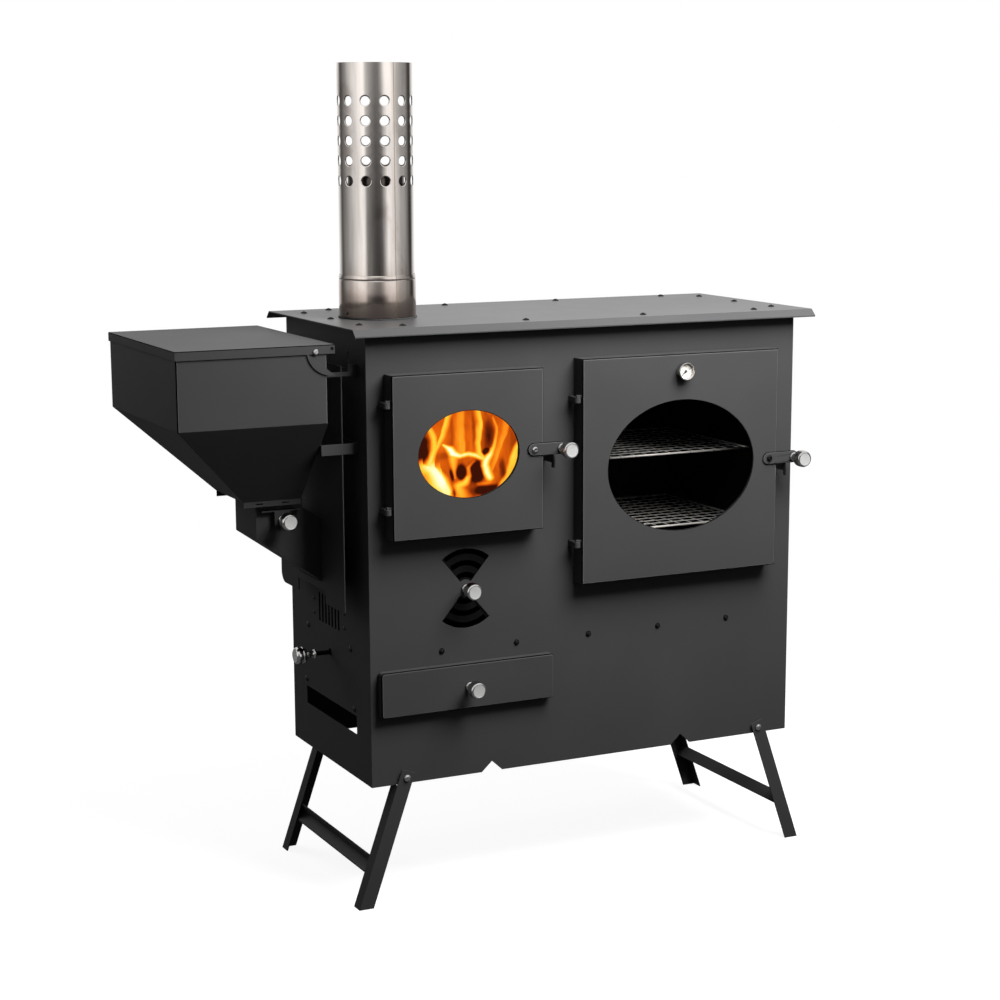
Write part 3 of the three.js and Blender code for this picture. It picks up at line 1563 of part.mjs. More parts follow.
function hopper() {
  const gateKnob = knob("hopper_gate_knob", sheet);
  gateKnob.position.set(gateKnobX, chuteFront - gateNose - seat, gateKnobHeight);
  return [
    hopperBin(),
    groupAt("hopper_lid_hinge", lidPivotX, 0, lidPivotZ, [hopperLid()]),
    lidHingePin(),
    lidStopScrew(),
    pelletChute(),
    groupAt("hopper_gate_slide", 0, 0, 0, [hopperGate(), gateKnob]),
    heatShield(),
    strapUpper(),
    strapLower(),
  ];
}

function legs() {
  const parts = [];
  for (const [word, side] of [["left", -1], ["right", 1]]) {
    const x = midWidth + side * pivotOffset;
    parts.push(groupAt("leg_pivot_line_" + word, x, 0, pivotRise, [legFrame("leg_frame_" + word, side)]));
    const frontBolt = legPivot("leg_pivot_front_" + word, -1);
    frontBolt.position.set(x, -legStandOff - sheet - seat, pivotRise);
    const backBolt = legPivot("leg_pivot_back_" + word, 1);
    backBolt.position.set(x, bodyDepth + legStandOff + sheet + seat, pivotRise);
    parts.push(frontBolt, backBolt);
  }
  return parts;
}

function chimney() {
  const moving = groupAt("chimney_lift", 0, 0, 0, [chimneyBaseRing(), chimneySleeve(), fluePipe()]);
  return groupAt("chimney_axis", chimneyX, midDepth, plateTop, [chimneyCollar(), moving]);
}

const stove = new THREE.Group();
stove.add(
  bodyShell(),
  backPanel(),
  topPlate(),
  innerShelf(),
  partition(),
  fireboxLiner(),
  burnerPot(),
  ovenBox(),
  ovenRack("oven_rack_upper", rackUpperHeight),
  ovenRack("oven_rack_lower", rackLowerHeight),
  ...fireboxDoor(),
  ...ovenDoor(),
  damper(),
  ashDrawer(),
  drawerGuide(),
  ashSlideParts(),
  ...hopper(),
  ...legs(),
  chimney(),
);

// The origin ends up under the middle of the whole stove, on the ground
const extent = new THREE.Box3().setFromObject(stove, true);
const centre = extent.getCenter(new THREE.Vector3());
stove.position.set(-centre.x, -centre.y, -extent.min.z);

const outdoorStove = new THREE.Group();
outdoorStove.add(stove);

export default outdoorStove;
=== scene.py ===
import math

import bmesh
import bpy
import numpy as np
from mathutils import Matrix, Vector


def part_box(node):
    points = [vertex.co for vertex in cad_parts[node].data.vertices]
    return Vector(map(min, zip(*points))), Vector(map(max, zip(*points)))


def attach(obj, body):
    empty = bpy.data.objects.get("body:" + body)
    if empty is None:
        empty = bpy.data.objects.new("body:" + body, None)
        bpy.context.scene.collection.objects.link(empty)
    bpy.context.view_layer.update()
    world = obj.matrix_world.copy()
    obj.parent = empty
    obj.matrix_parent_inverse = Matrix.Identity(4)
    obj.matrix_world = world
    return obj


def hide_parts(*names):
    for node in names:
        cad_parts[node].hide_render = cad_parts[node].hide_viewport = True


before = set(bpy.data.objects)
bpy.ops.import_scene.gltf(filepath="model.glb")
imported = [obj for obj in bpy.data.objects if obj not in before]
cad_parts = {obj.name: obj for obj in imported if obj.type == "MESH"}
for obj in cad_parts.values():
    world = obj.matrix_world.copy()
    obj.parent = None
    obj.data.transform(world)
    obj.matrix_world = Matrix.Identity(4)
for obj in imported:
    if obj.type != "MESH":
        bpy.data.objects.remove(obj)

bl_info = {
    "name": "Outdoor stove looks",
    "version": (1, 0, 0),
    "blender": (4, 5, 0),
    "location": "View3D > Sidebar > Stove",
    "description": "Dresses the packed stove with its finishes, small parts and fire",
    "category": "Object",
}

MILLIMETRE = 0.001
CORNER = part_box("body_shell")[0]
FORWARD = Vector((0, -1, 0))
LEFTWARD = Vector((-1, 0, 0))
UPWARD = Vector((0, 0, 1))


def at(across, back, up):
    """Point of the body, in millimetres from its lower front left corner."""
    return CORNER + Vector((across, back, up)) * MILLIMETRE


# Node trees


class Value:
    """A socket of a node tree that takes part in sums."""

    def __init__(self, maker, socket):
        self.maker = maker
        self.socket = socket

    def maths(self, operation, first, second):
        settings = {"operation": operation}
        return self.maker.node("ShaderNodeMath", settings, {0: first, 1: second})

    def __add__(self, other):
        return self.maths("ADD", self, other)

    def __radd__(self, other):
        return self.maths("ADD", other, self)

    def __sub__(self, other):
        return self.maths("SUBTRACT", self, other)

    def __rsub__(self, other):
        return self.maths("SUBTRACT", other, self)

    def __mul__(self, other):
        return self.maths("MULTIPLY", self, other)

    def __rmul__(self, other):
        return self.maths("MULTIPLY", other, self)

    def __truediv__(self, other):
        return self.maths("DIVIDE", self, other)

    def __pow__(self, other):
        return self.maths("POWER", self, other)

    def __abs__(self):
        return self.maths("ABSOLUTE", self, 0.0)

    def sine(self):
        return self.maths("SINE", self, 0.0)

    def cosine(self):
        return self.maths("COSINE", self, 0.0)

    def least(self, other):
        return self.maths("MINIMUM", self, other)

    def most(self, other):
        return self.maths("MAXIMUM", self, other)

    def step(self, start, end):
        """0 before start and 1 after end, with a smooth rise between them."""
        settings = {"interpolation_type": "SMOOTHSTEP"}
        values = {0: self, 1: start, 2: end, 3: 0.0, 4: 1.0}
        return self.maker.node("ShaderNodeMapRange", settings, values)


class Maker:
    """Adds nodes to one tree and hands back their outputs."""

    def __init__(self, tree):
        self.tree = tree

    def node(self, kind, settings=None, values=None, out=0):
        made = self.tree.nodes.new(kind)
        for name, setting in (settings or {}).items():
            if name == "stops":
                self.set_stops(made.color_ramp, setting)
            else:
                setattr(made, name, setting)
        for place, value in (values or {}).items():
            for one in value if isinstance(value, list) else [value]:
                if isinstance(one, Value):
                    self.tree.links.new(one.socket, made.inputs[place])
                else:
                    made.inputs[place].default_value = one
        return Value(self, made.outputs[out]) if made.outputs else None

    def set_stops(self, ramp, stops):
        while len(ramp.elements) < len(stops):
            ramp.elements.new(1.0)
        for element, (place, colour) in zip(ramp.elements, stops):
            element.position = place
            element.color = colour

    def place(self):
        return self.node("ShaderNodeTexCoord", out="Object")

    def stretched(self, vector, factors):
        settings = {"operation": "MULTIPLY"}
        return self.node("ShaderNodeVectorMath", settings, {0: vector, 1: factors})

    def noise(self, vector, scale, detail=2.0, distortion=0.0):
        return self.node("ShaderNodeTexNoise", None, {
            "Vector": vector, "Scale": scale, "Detail": detail, "Distortion": distortion})

    def mixed(self, share, first, second):
        """Colour between two others."""
        settings = {"data_type": "RGBA"}
        return self.node("ShaderNodeMix", settings, {0: share, 6: first, 7: second}, 2)

    def parted(self, vector):
        return [self.node("ShaderNodeSeparateXYZ", None, {0: vector}, i) for i in range(3)]

    def gathered(self, x, y, z):
        return self.node("ShaderNodeCombineXYZ", None, {0: x, 1: y, 2: z})

    def bump(self, height, strength, distance, normal=None):
        values = {"Height": height, "Strength": strength, "Distance": distance}
        if normal:
            values["Normal"] = normal
        return self.node("ShaderNodeBump", None, values)

    def soft_edge(self, radius):
        """Normal that rounds every sharp edge a little."""
        return self.node("ShaderNodeBevel", {"samples": 6}, {"Radius": radius})

    def attribute(self, name):
        return self.node("ShaderNodeAttribute", {"attribute_name": name}, out="Fac")

    def glow(self, strength, colour=(1.0, 1.0, 1.0)):
        return self.node("ShaderNodeEmission", None, {"Color": opaque(colour), "Strength": strength})

    def chalk(self, tone):
        return self.node("ShaderNodeBsdfDiffuse", None, {"Color": opaque((tone, tone, tone))})

    def blend(self, share, first, second):
        """Shader between two others."""
        return self.node("ShaderNodeMixShader", None, {0: share, 1: first, 2: second})

    def surface(self, **sockets):
        """Ends the material in a principled surface with these sockets."""
        values = {name.replace("_", " "): value for name, value in sockets.items()}
        self.end(self.node("ShaderNodeBsdfPrincipled", None, values))

    def end(self, shader):
        self.node("ShaderNodeOutputMaterial", None, {"Surface": shader})


def new_finish(name):
    finish = bpy.data.materials.new(name)
    finish.use_nodes = True
    finish.node_tree.nodes.clear()
    return finish, Maker(finish.node_tree)


def opaque(colour):
    return (*colour, 1.0)


def shade(colour, factor):
    return opaque([part * factor for part in colour])


# Finishes


def coat_finish(make, colour, roughness, level):
    """Satin powder coat: faint clouds, a fine orange peel and soft folded edges."""
    place = make.place()
    cloud = make.noise(place, 7.0, 4.0)
    grain = make.noise(place, 950.0, 2.0)
    speck = make.noise(place, 2600.0, 1.0)
    tone = make.mixed(cloud, shade(colour, 0.86), shade(colour, 1.14))
    dusty = make.mixed(speck.step(0.66, 0.8) * 0.25, tone, shade(colour, 1.9))
    gloss = roughness + (cloud - 0.5) * 0.12 + (grain - 0.5) * 0.06
    peel = make.bump(grain + speck * 0.4, 0.05, 0.0002, make.soft_edge(0.0007))
    make.surface(Base_Color=dusty, Roughness=gloss, Normal=peel, Specular_IOR_Level=level)


def soot_finish(make, colour):
    """Dark sheet with soot that settles in clouds."""
    place = make.place()
    soot = make.noise(place, 11.0, 5.0)
    grain = make.noise(place, 700.0, 3.0)
    tone = make.mixed(soot.step(0.35, 0.7), shade(colour, 0.5), shade(colour, 1.5))
    gloss = 0.62 + (soot - 0.5) * 0.3
    rough = make.bump(grain + soot, 0.12, 0.0004)
    make.surface(Base_Color=tone, Roughness=gloss, Normal=rough, Specular_IOR_Level=0.08)


def turned_finish(make, colour, roughness, metal=1.0):
    """Turned bright steel with fine tool lines round it, kept in the piece's own map."""
    turning = make.node("ShaderNodeUVMap", {"uv_map": "turning"})
    along = make.parted(turning)[1]
    lines = make.noise(make.gathered(along * 9.0, 0.0, 0.0), 90.0, 3.0)
    cloud = make.noise(make.place(), 120.0, 3.0)
    tone = make.mixed(cloud, shade(colour, 0.88), shade(colour, 1.08))
    gloss = roughness + (lines - 0.5) * 0.12 + (cloud - 0.5) * 0.06
    make.surface(Base_Color=tone, Roughness=gloss, Metallic=metal,
                 Normal=make.bump(lines, 0.08, 0.0001))


def steel_finish(make, colour, roughness, metal=1.0):
    """Bright steel of the small screws, pivots and wires."""
    place = make.place()
    cloud = make.noise(place, 160.0, 3.0)
    tone = make.mixed(cloud, shade(colour, 0.8), shade(colour, 1.08))
    gloss = roughness + (cloud - 0.5) * 0.14
    make.surface(Base_Color=tone, Roughness=gloss, Metallic=metal,
                 Normal=make.bump(cloud, 0.05, 0.0001))


def black_screw_finish(make):
    """Black oxide steel with a little wear."""
    wear = make.noise(make.place(), 420.0, 3.0)
    worn, blued = (0.06, 0.06, 0.06), (0.005, 0.005, 0.0055)
    tone = make.mixed(wear.step(0.62, 0.8), opaque(blued), opaque(worn))
    make.surface(Base_Color=tone, Metallic=0.6, Roughness=0.16 + wear * 0.2)


def pipe_finish(make, looks, middle, foot, painted_shade_share):
    """Rolled stainless pipe: drawn lines, streaks of painted reflection round it, warm heat tint at
    the foot, a weld seam, and painted shade that darkens it by the share given.
    """
    place = make.place()
    offset = make.node("ShaderNodeVectorMath", {"operation": "SUBTRACT"}, {0: place, 1: middle})
    x, y, z = make.parted(offset)
    turn = x.maths("ARCTAN2", y, x)
    lines = make.noise(make.stretched(offset, (1.0, 1.0, 0.008)), 1500.0, 2.0)
    painted_sheen = make.noise(make.gathered(turn * 1.3, z * 2.2, 0.0), 2.4, 3.0)
    smoke = make.noise(make.stretched(offset, (1.0, 1.0, 0.5)), 28.0, 4.0)
    climb = z + (smoke - 0.5) * foot * 0.9
    heat = 1.0 - climb.step(foot * 0.1, foot * 1.6)
    seam = 1.0 - abs(turn - math.radians(looks.seam_turn)).step(0.008, 0.02)
    # Darker and lighter steel in streaks round the pipe: painted reflection
    steel = make.mixed(painted_sheen.step(0.3, 0.7), shade(looks.pipe_colour, 0.78),
                       shade(looks.pipe_colour, 1.1))
    warm = make.mixed(heat * 0.75, steel, opaque(looks.heat_colour))
    stained = make.mixed(smoke.step(0.56, 0.74) * 0.45, warm, opaque(looks.heat_colour))
    welded = make.mixed(seam * 0.6, stained, opaque((0.42, 0.27, 0.12)))
    # Darkening by the given share: painted shade inside the chimney
    toned = make.mixed(painted_shade_share, welded, opaque((0.05, 0.04, 0.035)))
    gloss = 0.12 + (lines - 0.5) * 0.06 + heat * 0.05 + seam * 0.12 + painted_shade_share * 0.25
    make.surface(Base_Color=toned, Metallic=1.0, Roughness=gloss,
                 Normal=make.bump(lines * 0.35 + painted_sheen * 1.5 + seam, 0.1, 0.0004))


def glass_finish(make):
    """Clear pane: see-through, with a thin gloss."""
    haze = make.noise(make.place(), 30.0, 4.0)
    clear = make.node("ShaderNodeBsdfTransparent", None, {"Color": opaque((0.97, 0.96, 0.94))})
    gloss = make.node("ShaderNodeBsdfGlossy", None, {"Roughness": 0.06})
    make.end(make.blend(0.0008 + haze.step(0.5, 0.8) * 0.0008, clear, gloss))


def paint_finish(make, colour, roughness):
    """Smooth print or enamel with a slight mottle."""
    mottle = make.noise(make.place(), 900.0, 2.0)
    tone = make.mixed(mottle, shade(colour, 0.95), shade(colour, 1.04))
    make.surface(Base_Color=tone, Roughness=roughness + (mottle - 0.5) * 0.1)


def flame_finish(make, strength):
    """Glow of the flames, from the heat kept in the sheet, with torn upper edges."""
    heat, body = make.attribute("hotness"), make.attribute("thickness")
    place = make.place()
    lick = make.noise(make.stretched(place, (1.0, 1.0, 0.32)), 55.0, 3.0, 1.6)
    fine = make.noise(make.stretched(place, (1.0, 1.0, 0.22)), 210.0, 2.0, 0.8)
    level = heat + (lick - 0.5) * 0.16 + (fine - 0.5) * 0.06
    glow = make.node("ShaderNodeValToRGB", {"stops": [
        (0.05, (0.045, 0.006, 0.002, 1.0)),
        (0.2, (0.26, 0.03, 0.003, 1.0)),
        (0.38, (0.75, 0.12, 0.004, 1.0)),
        (0.55, (1.0, 0.29, 0.012, 1.0)),
        (0.76, (1.0, 0.66, 0.045, 1.0)),
        (0.9, (1.0, 0.95, 0.38, 1.0)),
        (1.0, (1.0, 1.0, 0.85, 1.0)),
    ]}, {0: level})
    cover = (body + (lick - 0.5) * 0.8).step(0.2, 0.5)
    make.surface(Base_Color=opaque((0.0, 0.0, 0.0)), Emission_Color=glow, Alpha=cover,
                 Emission_Strength=strength, Roughness=1.0, Specular_IOR_Level=0.0)


def ember_finish(make):
    """Charred pellets that glow in their cracks."""
    place = make.place()
    crack = make.noise(place, 90.0, 4.0, 0.6)
    ash = make.noise(place, 45.0, 3.0)
    tone = make.mixed(ash.step(0.5, 0.7), opaque((0.012, 0.009, 0.008)), opaque((0.2, 0.18, 0.16)))
    glow = make.node("ShaderNodeValToRGB", {"stops": [
        (0.45, (0.0, 0.0, 0.0, 1.0)),
        (0.58, (0.7, 0.06, 0.0, 1.0)),
        (0.72, (1.0, 0.4, 0.04, 1.0)),
    ]}, {0: crack})
    make.surface(Base_Color=tone, Roughness=0.9, Emission_Color=glow, Emission_Strength=0.9,
                 Normal=make.bump(crack, 0.4, 0.001))


FINISHES = {}


def finish_named(name):
    """The material of that name, made on its first use."""
    looks = bpy.context.scene.stove_looks
    if name not in FINISHES:
        low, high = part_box("chimney_base_ring")
        foot = ((low.x + high.x) / 2, (low.y + high.y) / 2, low.z)
        coat = looks.coat_colour
        recipes = {
            "black_coat": (coat_finish, coat, looks.coat_roughness, 0.07),
            "hot_plate": (coat_finish, looks.plate_colour, 0.38, 0.26),
            # Lighter and darker copies of the coat for the rounded rims: painted highlight and painted
            # shade
            "painted_highlight_edge": (coat_finish, [part * 2.0 for part in coat], 0.45, 0.07),
            "painted_shade_edge": (coat_finish, [part * 0.08 for part in coat], 0.6, 0.01),
            "inner_steel": (soot_finish, looks.soot_colour),
            "polished_steel": (turned_finish, looks.steel_colour, 0.12),
            "knob_face": (turned_finish, (0.85, 0.85, 0.84), 0.45, 0.7),
            "bright_steel": (steel_finish, looks.steel_colour, 0.24),
            "rack_steel": (steel_finish, (0.9, 0.9, 0.91), 0.3, 0.7),
            "black_oxide": (black_screw_finish,),
            "sleeve_steel": (pipe_finish, looks, foot, 0.055, 0.0),
            # The sleeve's inside and the inner flue pipe are the same steel darkened: painted shade
            "sleeve_inside_painted_shade": (pipe_finish, looks, foot, 0.3, 0.45),
            "flue_steel_painted_shade": (pipe_finish, looks, foot, 0.2, 0.75),
            "window_glass": (glass_finish,),
            "dial_white": (paint_finish, (0.95, 0.95, 0.94), 0.35),
            "dial_black": (paint_finish, (0.015, 0.015, 0.015), 0.4),
            # Near-black floor of the screw sockets: painted shade
            "socket_painted_shade": (paint_finish, (0.004, 0.004, 0.004), 0.7),
            "flames": (flame_finish, looks.flame_strength),
            "embers": (ember_finish,),
        }
        finish, make = new_finish(name)
        recipe, *values = recipes[name]
        recipe(make, *values)
        FINISHES[name] = finish
    return FINISHES[name]


# Meshes


def linked(name, mesh):
    made = bpy.data.objects.new(name, mesh)
    bpy.context.scene.collection.objects.link(made)
    return made


def mesh_from(name, points, faces):
    mesh = bpy.data.meshes.new(name)
    mesh.from_pydata(points, [], faces)
    mesh.update()
    return mesh


def kept(piece, body, replaced=()):
    """Parents a finished piece to its body's empty and hides the parts it replaces."""
    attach(piece, body)
    if replaced:
        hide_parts(*replaced)
    return piece


def middle_of(node):
    low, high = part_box(node)
    return (low + high) / 2


def plain(maker_object, name):
    """Plain mesh of what an object's modifiers make, in place of that object."""
    bpy.context.view_layer.update()
    graph = bpy.context.evaluated_depsgraph_get()
    mesh = bpy.data.meshes.new_from_object(maker_object.evaluated_get(graph))
    bpy.data.objects.remove(maker_object)
    mesh.name = name
    if len(mesh.materials) > 1 and mesh.materials[0] is None:
        mesh.materials.pop(index=0)
    return linked(name, mesh)


# Points closer than the gap, in metres, are one point
MERGE_GAP = 1e-6
# Turned pieces: scale of the map that carries the tool lines, and least turn of a sharp edge
TURNING_SCALE = 0.1
SHARP_TURN = math.radians(32)


def turned_rings(profile, centre, axis, segments):
    """Points of a profile, given as radius and height in millimetres, turned on an axis."""
    side = axis.orthogonal().normalized()
    other = axis.cross(side).normalized()
    points = []
    for radius, height in profile:
        for i in range(segments):
            turn = 2 * math.pi * i / segments
            out = side * math.cos(turn) + other * math.sin(turn)
            points.append(centre + (axis * height + out * radius) * MILLIMETRE)
    return points


def turned_piece(name, profile, centre, axis, finishes, segments=64, closed=False):
    """Turned piece. Each profile point is radius, height and the finish of the band after it."""
    rings = [(radius, height) for radius, height, _ in profile]
    points = turned_rings(rings, centre, axis, segments)
    bands = len(profile) if closed else len(profile) - 1
    lengths = [0.0]
    for (r0, h0), (r1, h1) in zip(rings, rings[1:] + rings[:1]):
        lengths.append(lengths[-1] + math.hypot(r1 - r0, h1 - h0))
    faces, marks, turns = [], [], []
    for band in range(bands):
        after = (band + 1) % len(profile)
        for i in range(segments):
            j = (i + 1) % segments
            corners = [(band, i), (band, j), (after, j), (after, i)]
            faces.append([row * segments + column for row, column in corners])
            marks.append(profile[band][2])
            turns += [(i / segments, lengths[band]), ((i + 1) / segments, lengths[band]),
                      ((i + 1) / segments, lengths[band + 1]), (i / segments, lengths[band + 1])]
    mesh = mesh_from(name, points, faces)
    layer = mesh.uv_layers.new(name="turning")
    for corner, (around, along) in enumerate(turns):
        layer.data[corner].uv = (around, along * TURNING_SCALE)
    mesh.polygons.foreach_set("material_index", marks)
    for finish in finishes:
        mesh.materials.append(finish_named(finish))
    merged = bmesh.new()
    merged.from_mesh(mesh)
    bmesh.ops.remove_doubles(merged, verts=merged.verts, dist=MERGE_GAP)
    bmesh.ops.dissolve_degenerate(merged, edges=merged.edges, dist=MERGE_GAP / 10)
    bmesh.ops.recalc_face_normals(merged, faces=merged.faces)
    merged.to_mesh(mesh)
    merged.free()
    mesh.polygons.foreach_set("use_smooth", [True] * len(mesh.polygons))
    mesh.set_sharp_from_angle(angle=SHARP_TURN)
    return linked(name, mesh)


def rounded(profile, radius, steps=4):
    """Profile with its inner corners rounded. Bands keep their finish."""
    made = [profile[0]]
    for before, corner, after in zip(profile, profile[1:], profile[2:]):
        here = Vector(corner[:2])
        back = Vector(before[:2]) - here
        ahead = Vector(after[:2]) - here
        reach = min(radius, back.length / 2.2, ahead.length / 2.2)
        start = here + back.normalized() * reach
        end = here + ahead.normalized() * reach
        for i in range(steps + 1):
            share = i / steps
            point = start.lerp(here, share).lerp(here.lerp(end, share), share)
            made.append((point.x, point.y, before[2] if share < 1 else corner[2]))
    made.append(profile[-1])
    return made


# Geometry trees


def new_tree(name, inputs):
    """Geometry tree with a named input for each size, and a maker for it."""
    tree = bpy.data.node_groups.new(name, "GeometryNodeTree")
    tree.interface.new_socket("Geometry", in_out="OUTPUT", socket_type="NodeSocketGeometry")
    tree.interface.new_socket("Geometry", in_out="INPUT", socket_type="NodeSocketGeometry")
    for label, kind in inputs.items():
        tree.interface.new_socket(label, in_out="INPUT", socket_type="NodeSocket" + kind)
    make = Maker(tree)
    group = tree.nodes.new("NodeGroupInput")
    given = {socket.name: Value(make, socket) for socket in group.outputs if socket.name}
    return tree, make, given


def coated(make, geometry, finish, chosen=True):
    values = {"Geometry": geometry, "Selection": chosen, "Material": finish}
    return make.node("GeometryNodeSetMaterial", None, values)


def moved(make, geometry, offset):
    values = {"Geometry": geometry, "Translation": offset}
    return make.node("GeometryNodeTransform", None, values)


def joined(make, *parts):
    return make.node("GeometryNodeJoinGeometry", None, {0: list(parts)})


def rod(make, sides, radius, reach):
    values = {"Vertices": sides, "Radius": radius, "Depth": reach}
    return make.node("GeometryNodeMeshCylinder", None, values)


def grid(make, wide, tall, across, up):
    values = {"Size X": wide, "Size Y": tall, "Vertices X": across, "Vertices Y": up}
    return make.node("GeometryNodeMeshGrid", None, values)


def line(make, number, start, gap):
    """Loose points in a row."""
    values = {"Count": number, "Start Location": start, "Offset": gap}
    return make.node("GeometryNodeMeshLine", {"mode": "OFFSET"}, values)


def named(make, label, kind):
    """Value of a named attribute."""
    return make.node("GeometryNodeInputNamedAttribute", {"data_type": kind}, {"Name": label})


def real(make, geometry):
    return make.node("GeometryNodeRealizeInstances", None, {0: geometry})


def smooth(make, geometry):
    return make.node("GeometryNodeSetShadeSmooth", None, {0: geometry})


def set_out(make, spots, piece, **how):
    """Copies of a piece on points, turned and sized as asked."""
    values = {"Points": spots, "Instance": piece, **how}
    return make.node("GeometryNodeInstanceOnPoints", None, values)


def end_group(make, geometry):
    group = make.tree.nodes.new("NodeGroupOutput")
    make.tree.links.new(geometry.socket, group.inputs[0])


def grown(name, mesh, tree, values, wall=0.0):
    """Plain object that a tree grows from a mesh, with a wall where one is asked for."""
    seed = linked(name + "_seed", mesh)
    modifier = seed.modifiers.new("grow", "NODES")
    modifier.node_group = tree
    for item in tree.interface.items_tree:
        if item.in_out == "INPUT" and item.name in values:
            modifier[item.identifier] = values[item.name]
    if wall:
        solid = seed.modifiers.new("wall", "SOLIDIFY")
        solid.thickness = wall
        solid.offset = -1.0
    return plain(seed, name)


def spot_mesh(name, spots, facing):
    """Loose points that all face one way."""
    mesh = mesh_from(name, spots, [])
    layer = mesh.attributes.new("facing", "FLOAT_VECTOR", "POINT")
    layer.data.foreach_set("vector", list(facing) * len(spots))
    return mesh


# Share of a screw head's height by which its socket, a hexagon prism whose near-black top is painted
# shade, is lifted
SOCKET_LIFT_SHARE = 0.51


def button_head_tree():
    """Domed screw heads, one on each point, each with a hexagon socket: a prism whose near-black top,
    just above the dome, is painted shade.
    """
    sizes = {"Radius": "Float", "Height": "Float", "Socket Radius": "Float"}
    finishes = {"Head Finish": "Material", "Socket Painted Shade": "Material"}
    tree, make, given = new_tree("button_heads", {**sizes, **finishes})
    ball = make.node("GeometryNodeMeshUVSphere", None,
                     {"Segments": 24, "Rings": 12, "Radius": given["Radius"]})
    squeeze = make.gathered(1.0, 1.0, given["Height"] / given["Radius"])
    dome = make.node("GeometryNodeTransform", None, {"Geometry": ball, "Scale": squeeze})
    bore = rod(make, 6, given["Socket Radius"], given["Height"])
    raised = moved(make, bore, make.gathered(0.0, 0.0, given["Height"] * SOCKET_LIFT_SHARE))
    marked = make.node("GeometryNodeStoreNamedAttribute", {"data_type": "BOOLEAN", "domain": "FACE"},
                       {"Geometry": raised, "Name": "socket", "Value": True})
    head = joined(make, smooth(make, dome), marked)
    turn = make.node("FunctionNodeAlignRotationToVector", {"axis": "Z"},
                     {"Vector": named(make, "facing", "FLOAT_VECTOR")})
    placed = set_out(make, given["Geometry"], head, Rotation=turn)
    heads = coated(make, real(make, placed), given["Head Finish"])
    inside = named(make, "socket", "BOOLEAN")
    end_group(make, coated(make, heads, given["Socket Painted Shade"], inside))
    return tree


# Radius of a rack's long wires as a share of that of its cross wires
LONG_WIRE_SHARE = 0.6


def wire_rack_tree():
    """Rack of wires: fine ones from front to back, thicker ones across, and a rim."""
    tree, make, given = new_tree("wire_rack", {
        "Width": "Float", "Depth": "Float", "Wire Radius": "Float", "Rim Radius": "Float",
        "Long Spread": "Float", "Cross Spread": "Float", "Long Wires": "Int",
        "Cross Wires": "Int", "Middle": "Vector", "Finish": "Material"})

    def row(number, radius, reach, spread, along_x, lift):
        bar = smooth(make, rod(make, 8, radius, reach))
        quarter = math.pi / 2
        turn = (0.0, quarter, 0.0) if along_x else (quarter, 0.0, 0.0)
        laid = make.node("GeometryNodeTransform", None, {"Geometry": bar, "Rotation": turn})
        start = spread * -0.5
        pitch = spread / (number - 1.0)
        first = make.gathered(0.0, start, lift) if along_x else make.gathered(start, 0.0, lift)
        gap = make.gathered(0.0, pitch, 0.0) if along_x else make.gathered(pitch, 0.0, 0.0)
        return set_out(make, line(make, number, first, gap), laid)

    wire, rim = given["Wire Radius"], given["Rim Radius"]
    width, depth = given["Width"], given["Depth"]
    pair = make.node("FunctionNodeInputInt", {"integer": 2})
    rows = [
        row(given["Long Wires"], wire * LONG_WIRE_SHARE, depth, given["Long Spread"], False,
            rim * 0.9),
        row(given["Cross Wires"], wire, width, given["Cross Spread"], True, rim * -0.1),
        row(pair, rim, width, depth, True, 0.0),
        row(pair, rim, depth, width, False, 0.0),
    ]
    welded = real(make, moved(make, joined(make, *rows), given["Middle"]))
    end_group(make, coated(make, welded, given["Finish"]))
    return tree


def pipe_wall_tree():
    """Pipe wall rolled from flat sheet: one punched cell repeated in rows, with plain sheet
    above and below."""
    tree, make, given = new_tree("pipe_wall", {
        "Radius": "Float", "Columns": "Int", "Rows": "Int", "Row Pitch": "Float",
        "Rows Middle": "Float", "Height": "Float", "Turn": "Float", "Foot": "Vector",
        "Finish": "Material"})
    around = given["Radius"] * (2 * math.pi)
    cells = grid(make, around - around / given["Columns"],
                 given["Row Pitch"] * (given["Rows"] - 1.0), given["Columns"], given["Rows"])
    raised = moved(make, cells, make.gathered(0.0, given["Rows Middle"], 0.0))
    punched = set_out(make, raised, given["Geometry"])
    half = given["Row Pitch"] * given["Rows"] * 0.5
    lower = given["Rows Middle"] - half
    upper = given["Rows Middle"] + half

    def sheet(bottom, top, rows):
        flat = grid(make, around, top - bottom, given["Columns"] * 8.0 + 1.0, rows)
        return moved(make, flat, make.gathered(0.0, (top + bottom) * 0.5, 0.0))

    flat = joined(make, punched, sheet(0.0, lower, 24), sheet(upper, given["Height"], 6))
    rolled = real(make, flat)
    x, y, z = make.parted(make.node("GeometryNodeInputPosition"))
    turn = x / given["Radius"] + given["Turn"]
    reach = given["Radius"] + z
    across, back = reach * turn.cosine(), reach * turn.sine()
    bent = make.node("GeometryNodeSetPosition", None, {
        "Geometry": rolled, "Position": make.gathered(across, back, y), "Offset": given["Foot"]})
    merged = make.node("GeometryNodeMergeByDistance", None,
                       {"Geometry": bent, "Distance": 0.02 * MILLIMETRE})
    whole = real(make, smooth(make, merged))
    end_group(make, coated(make, whole, given["Finish"]))
    return tree


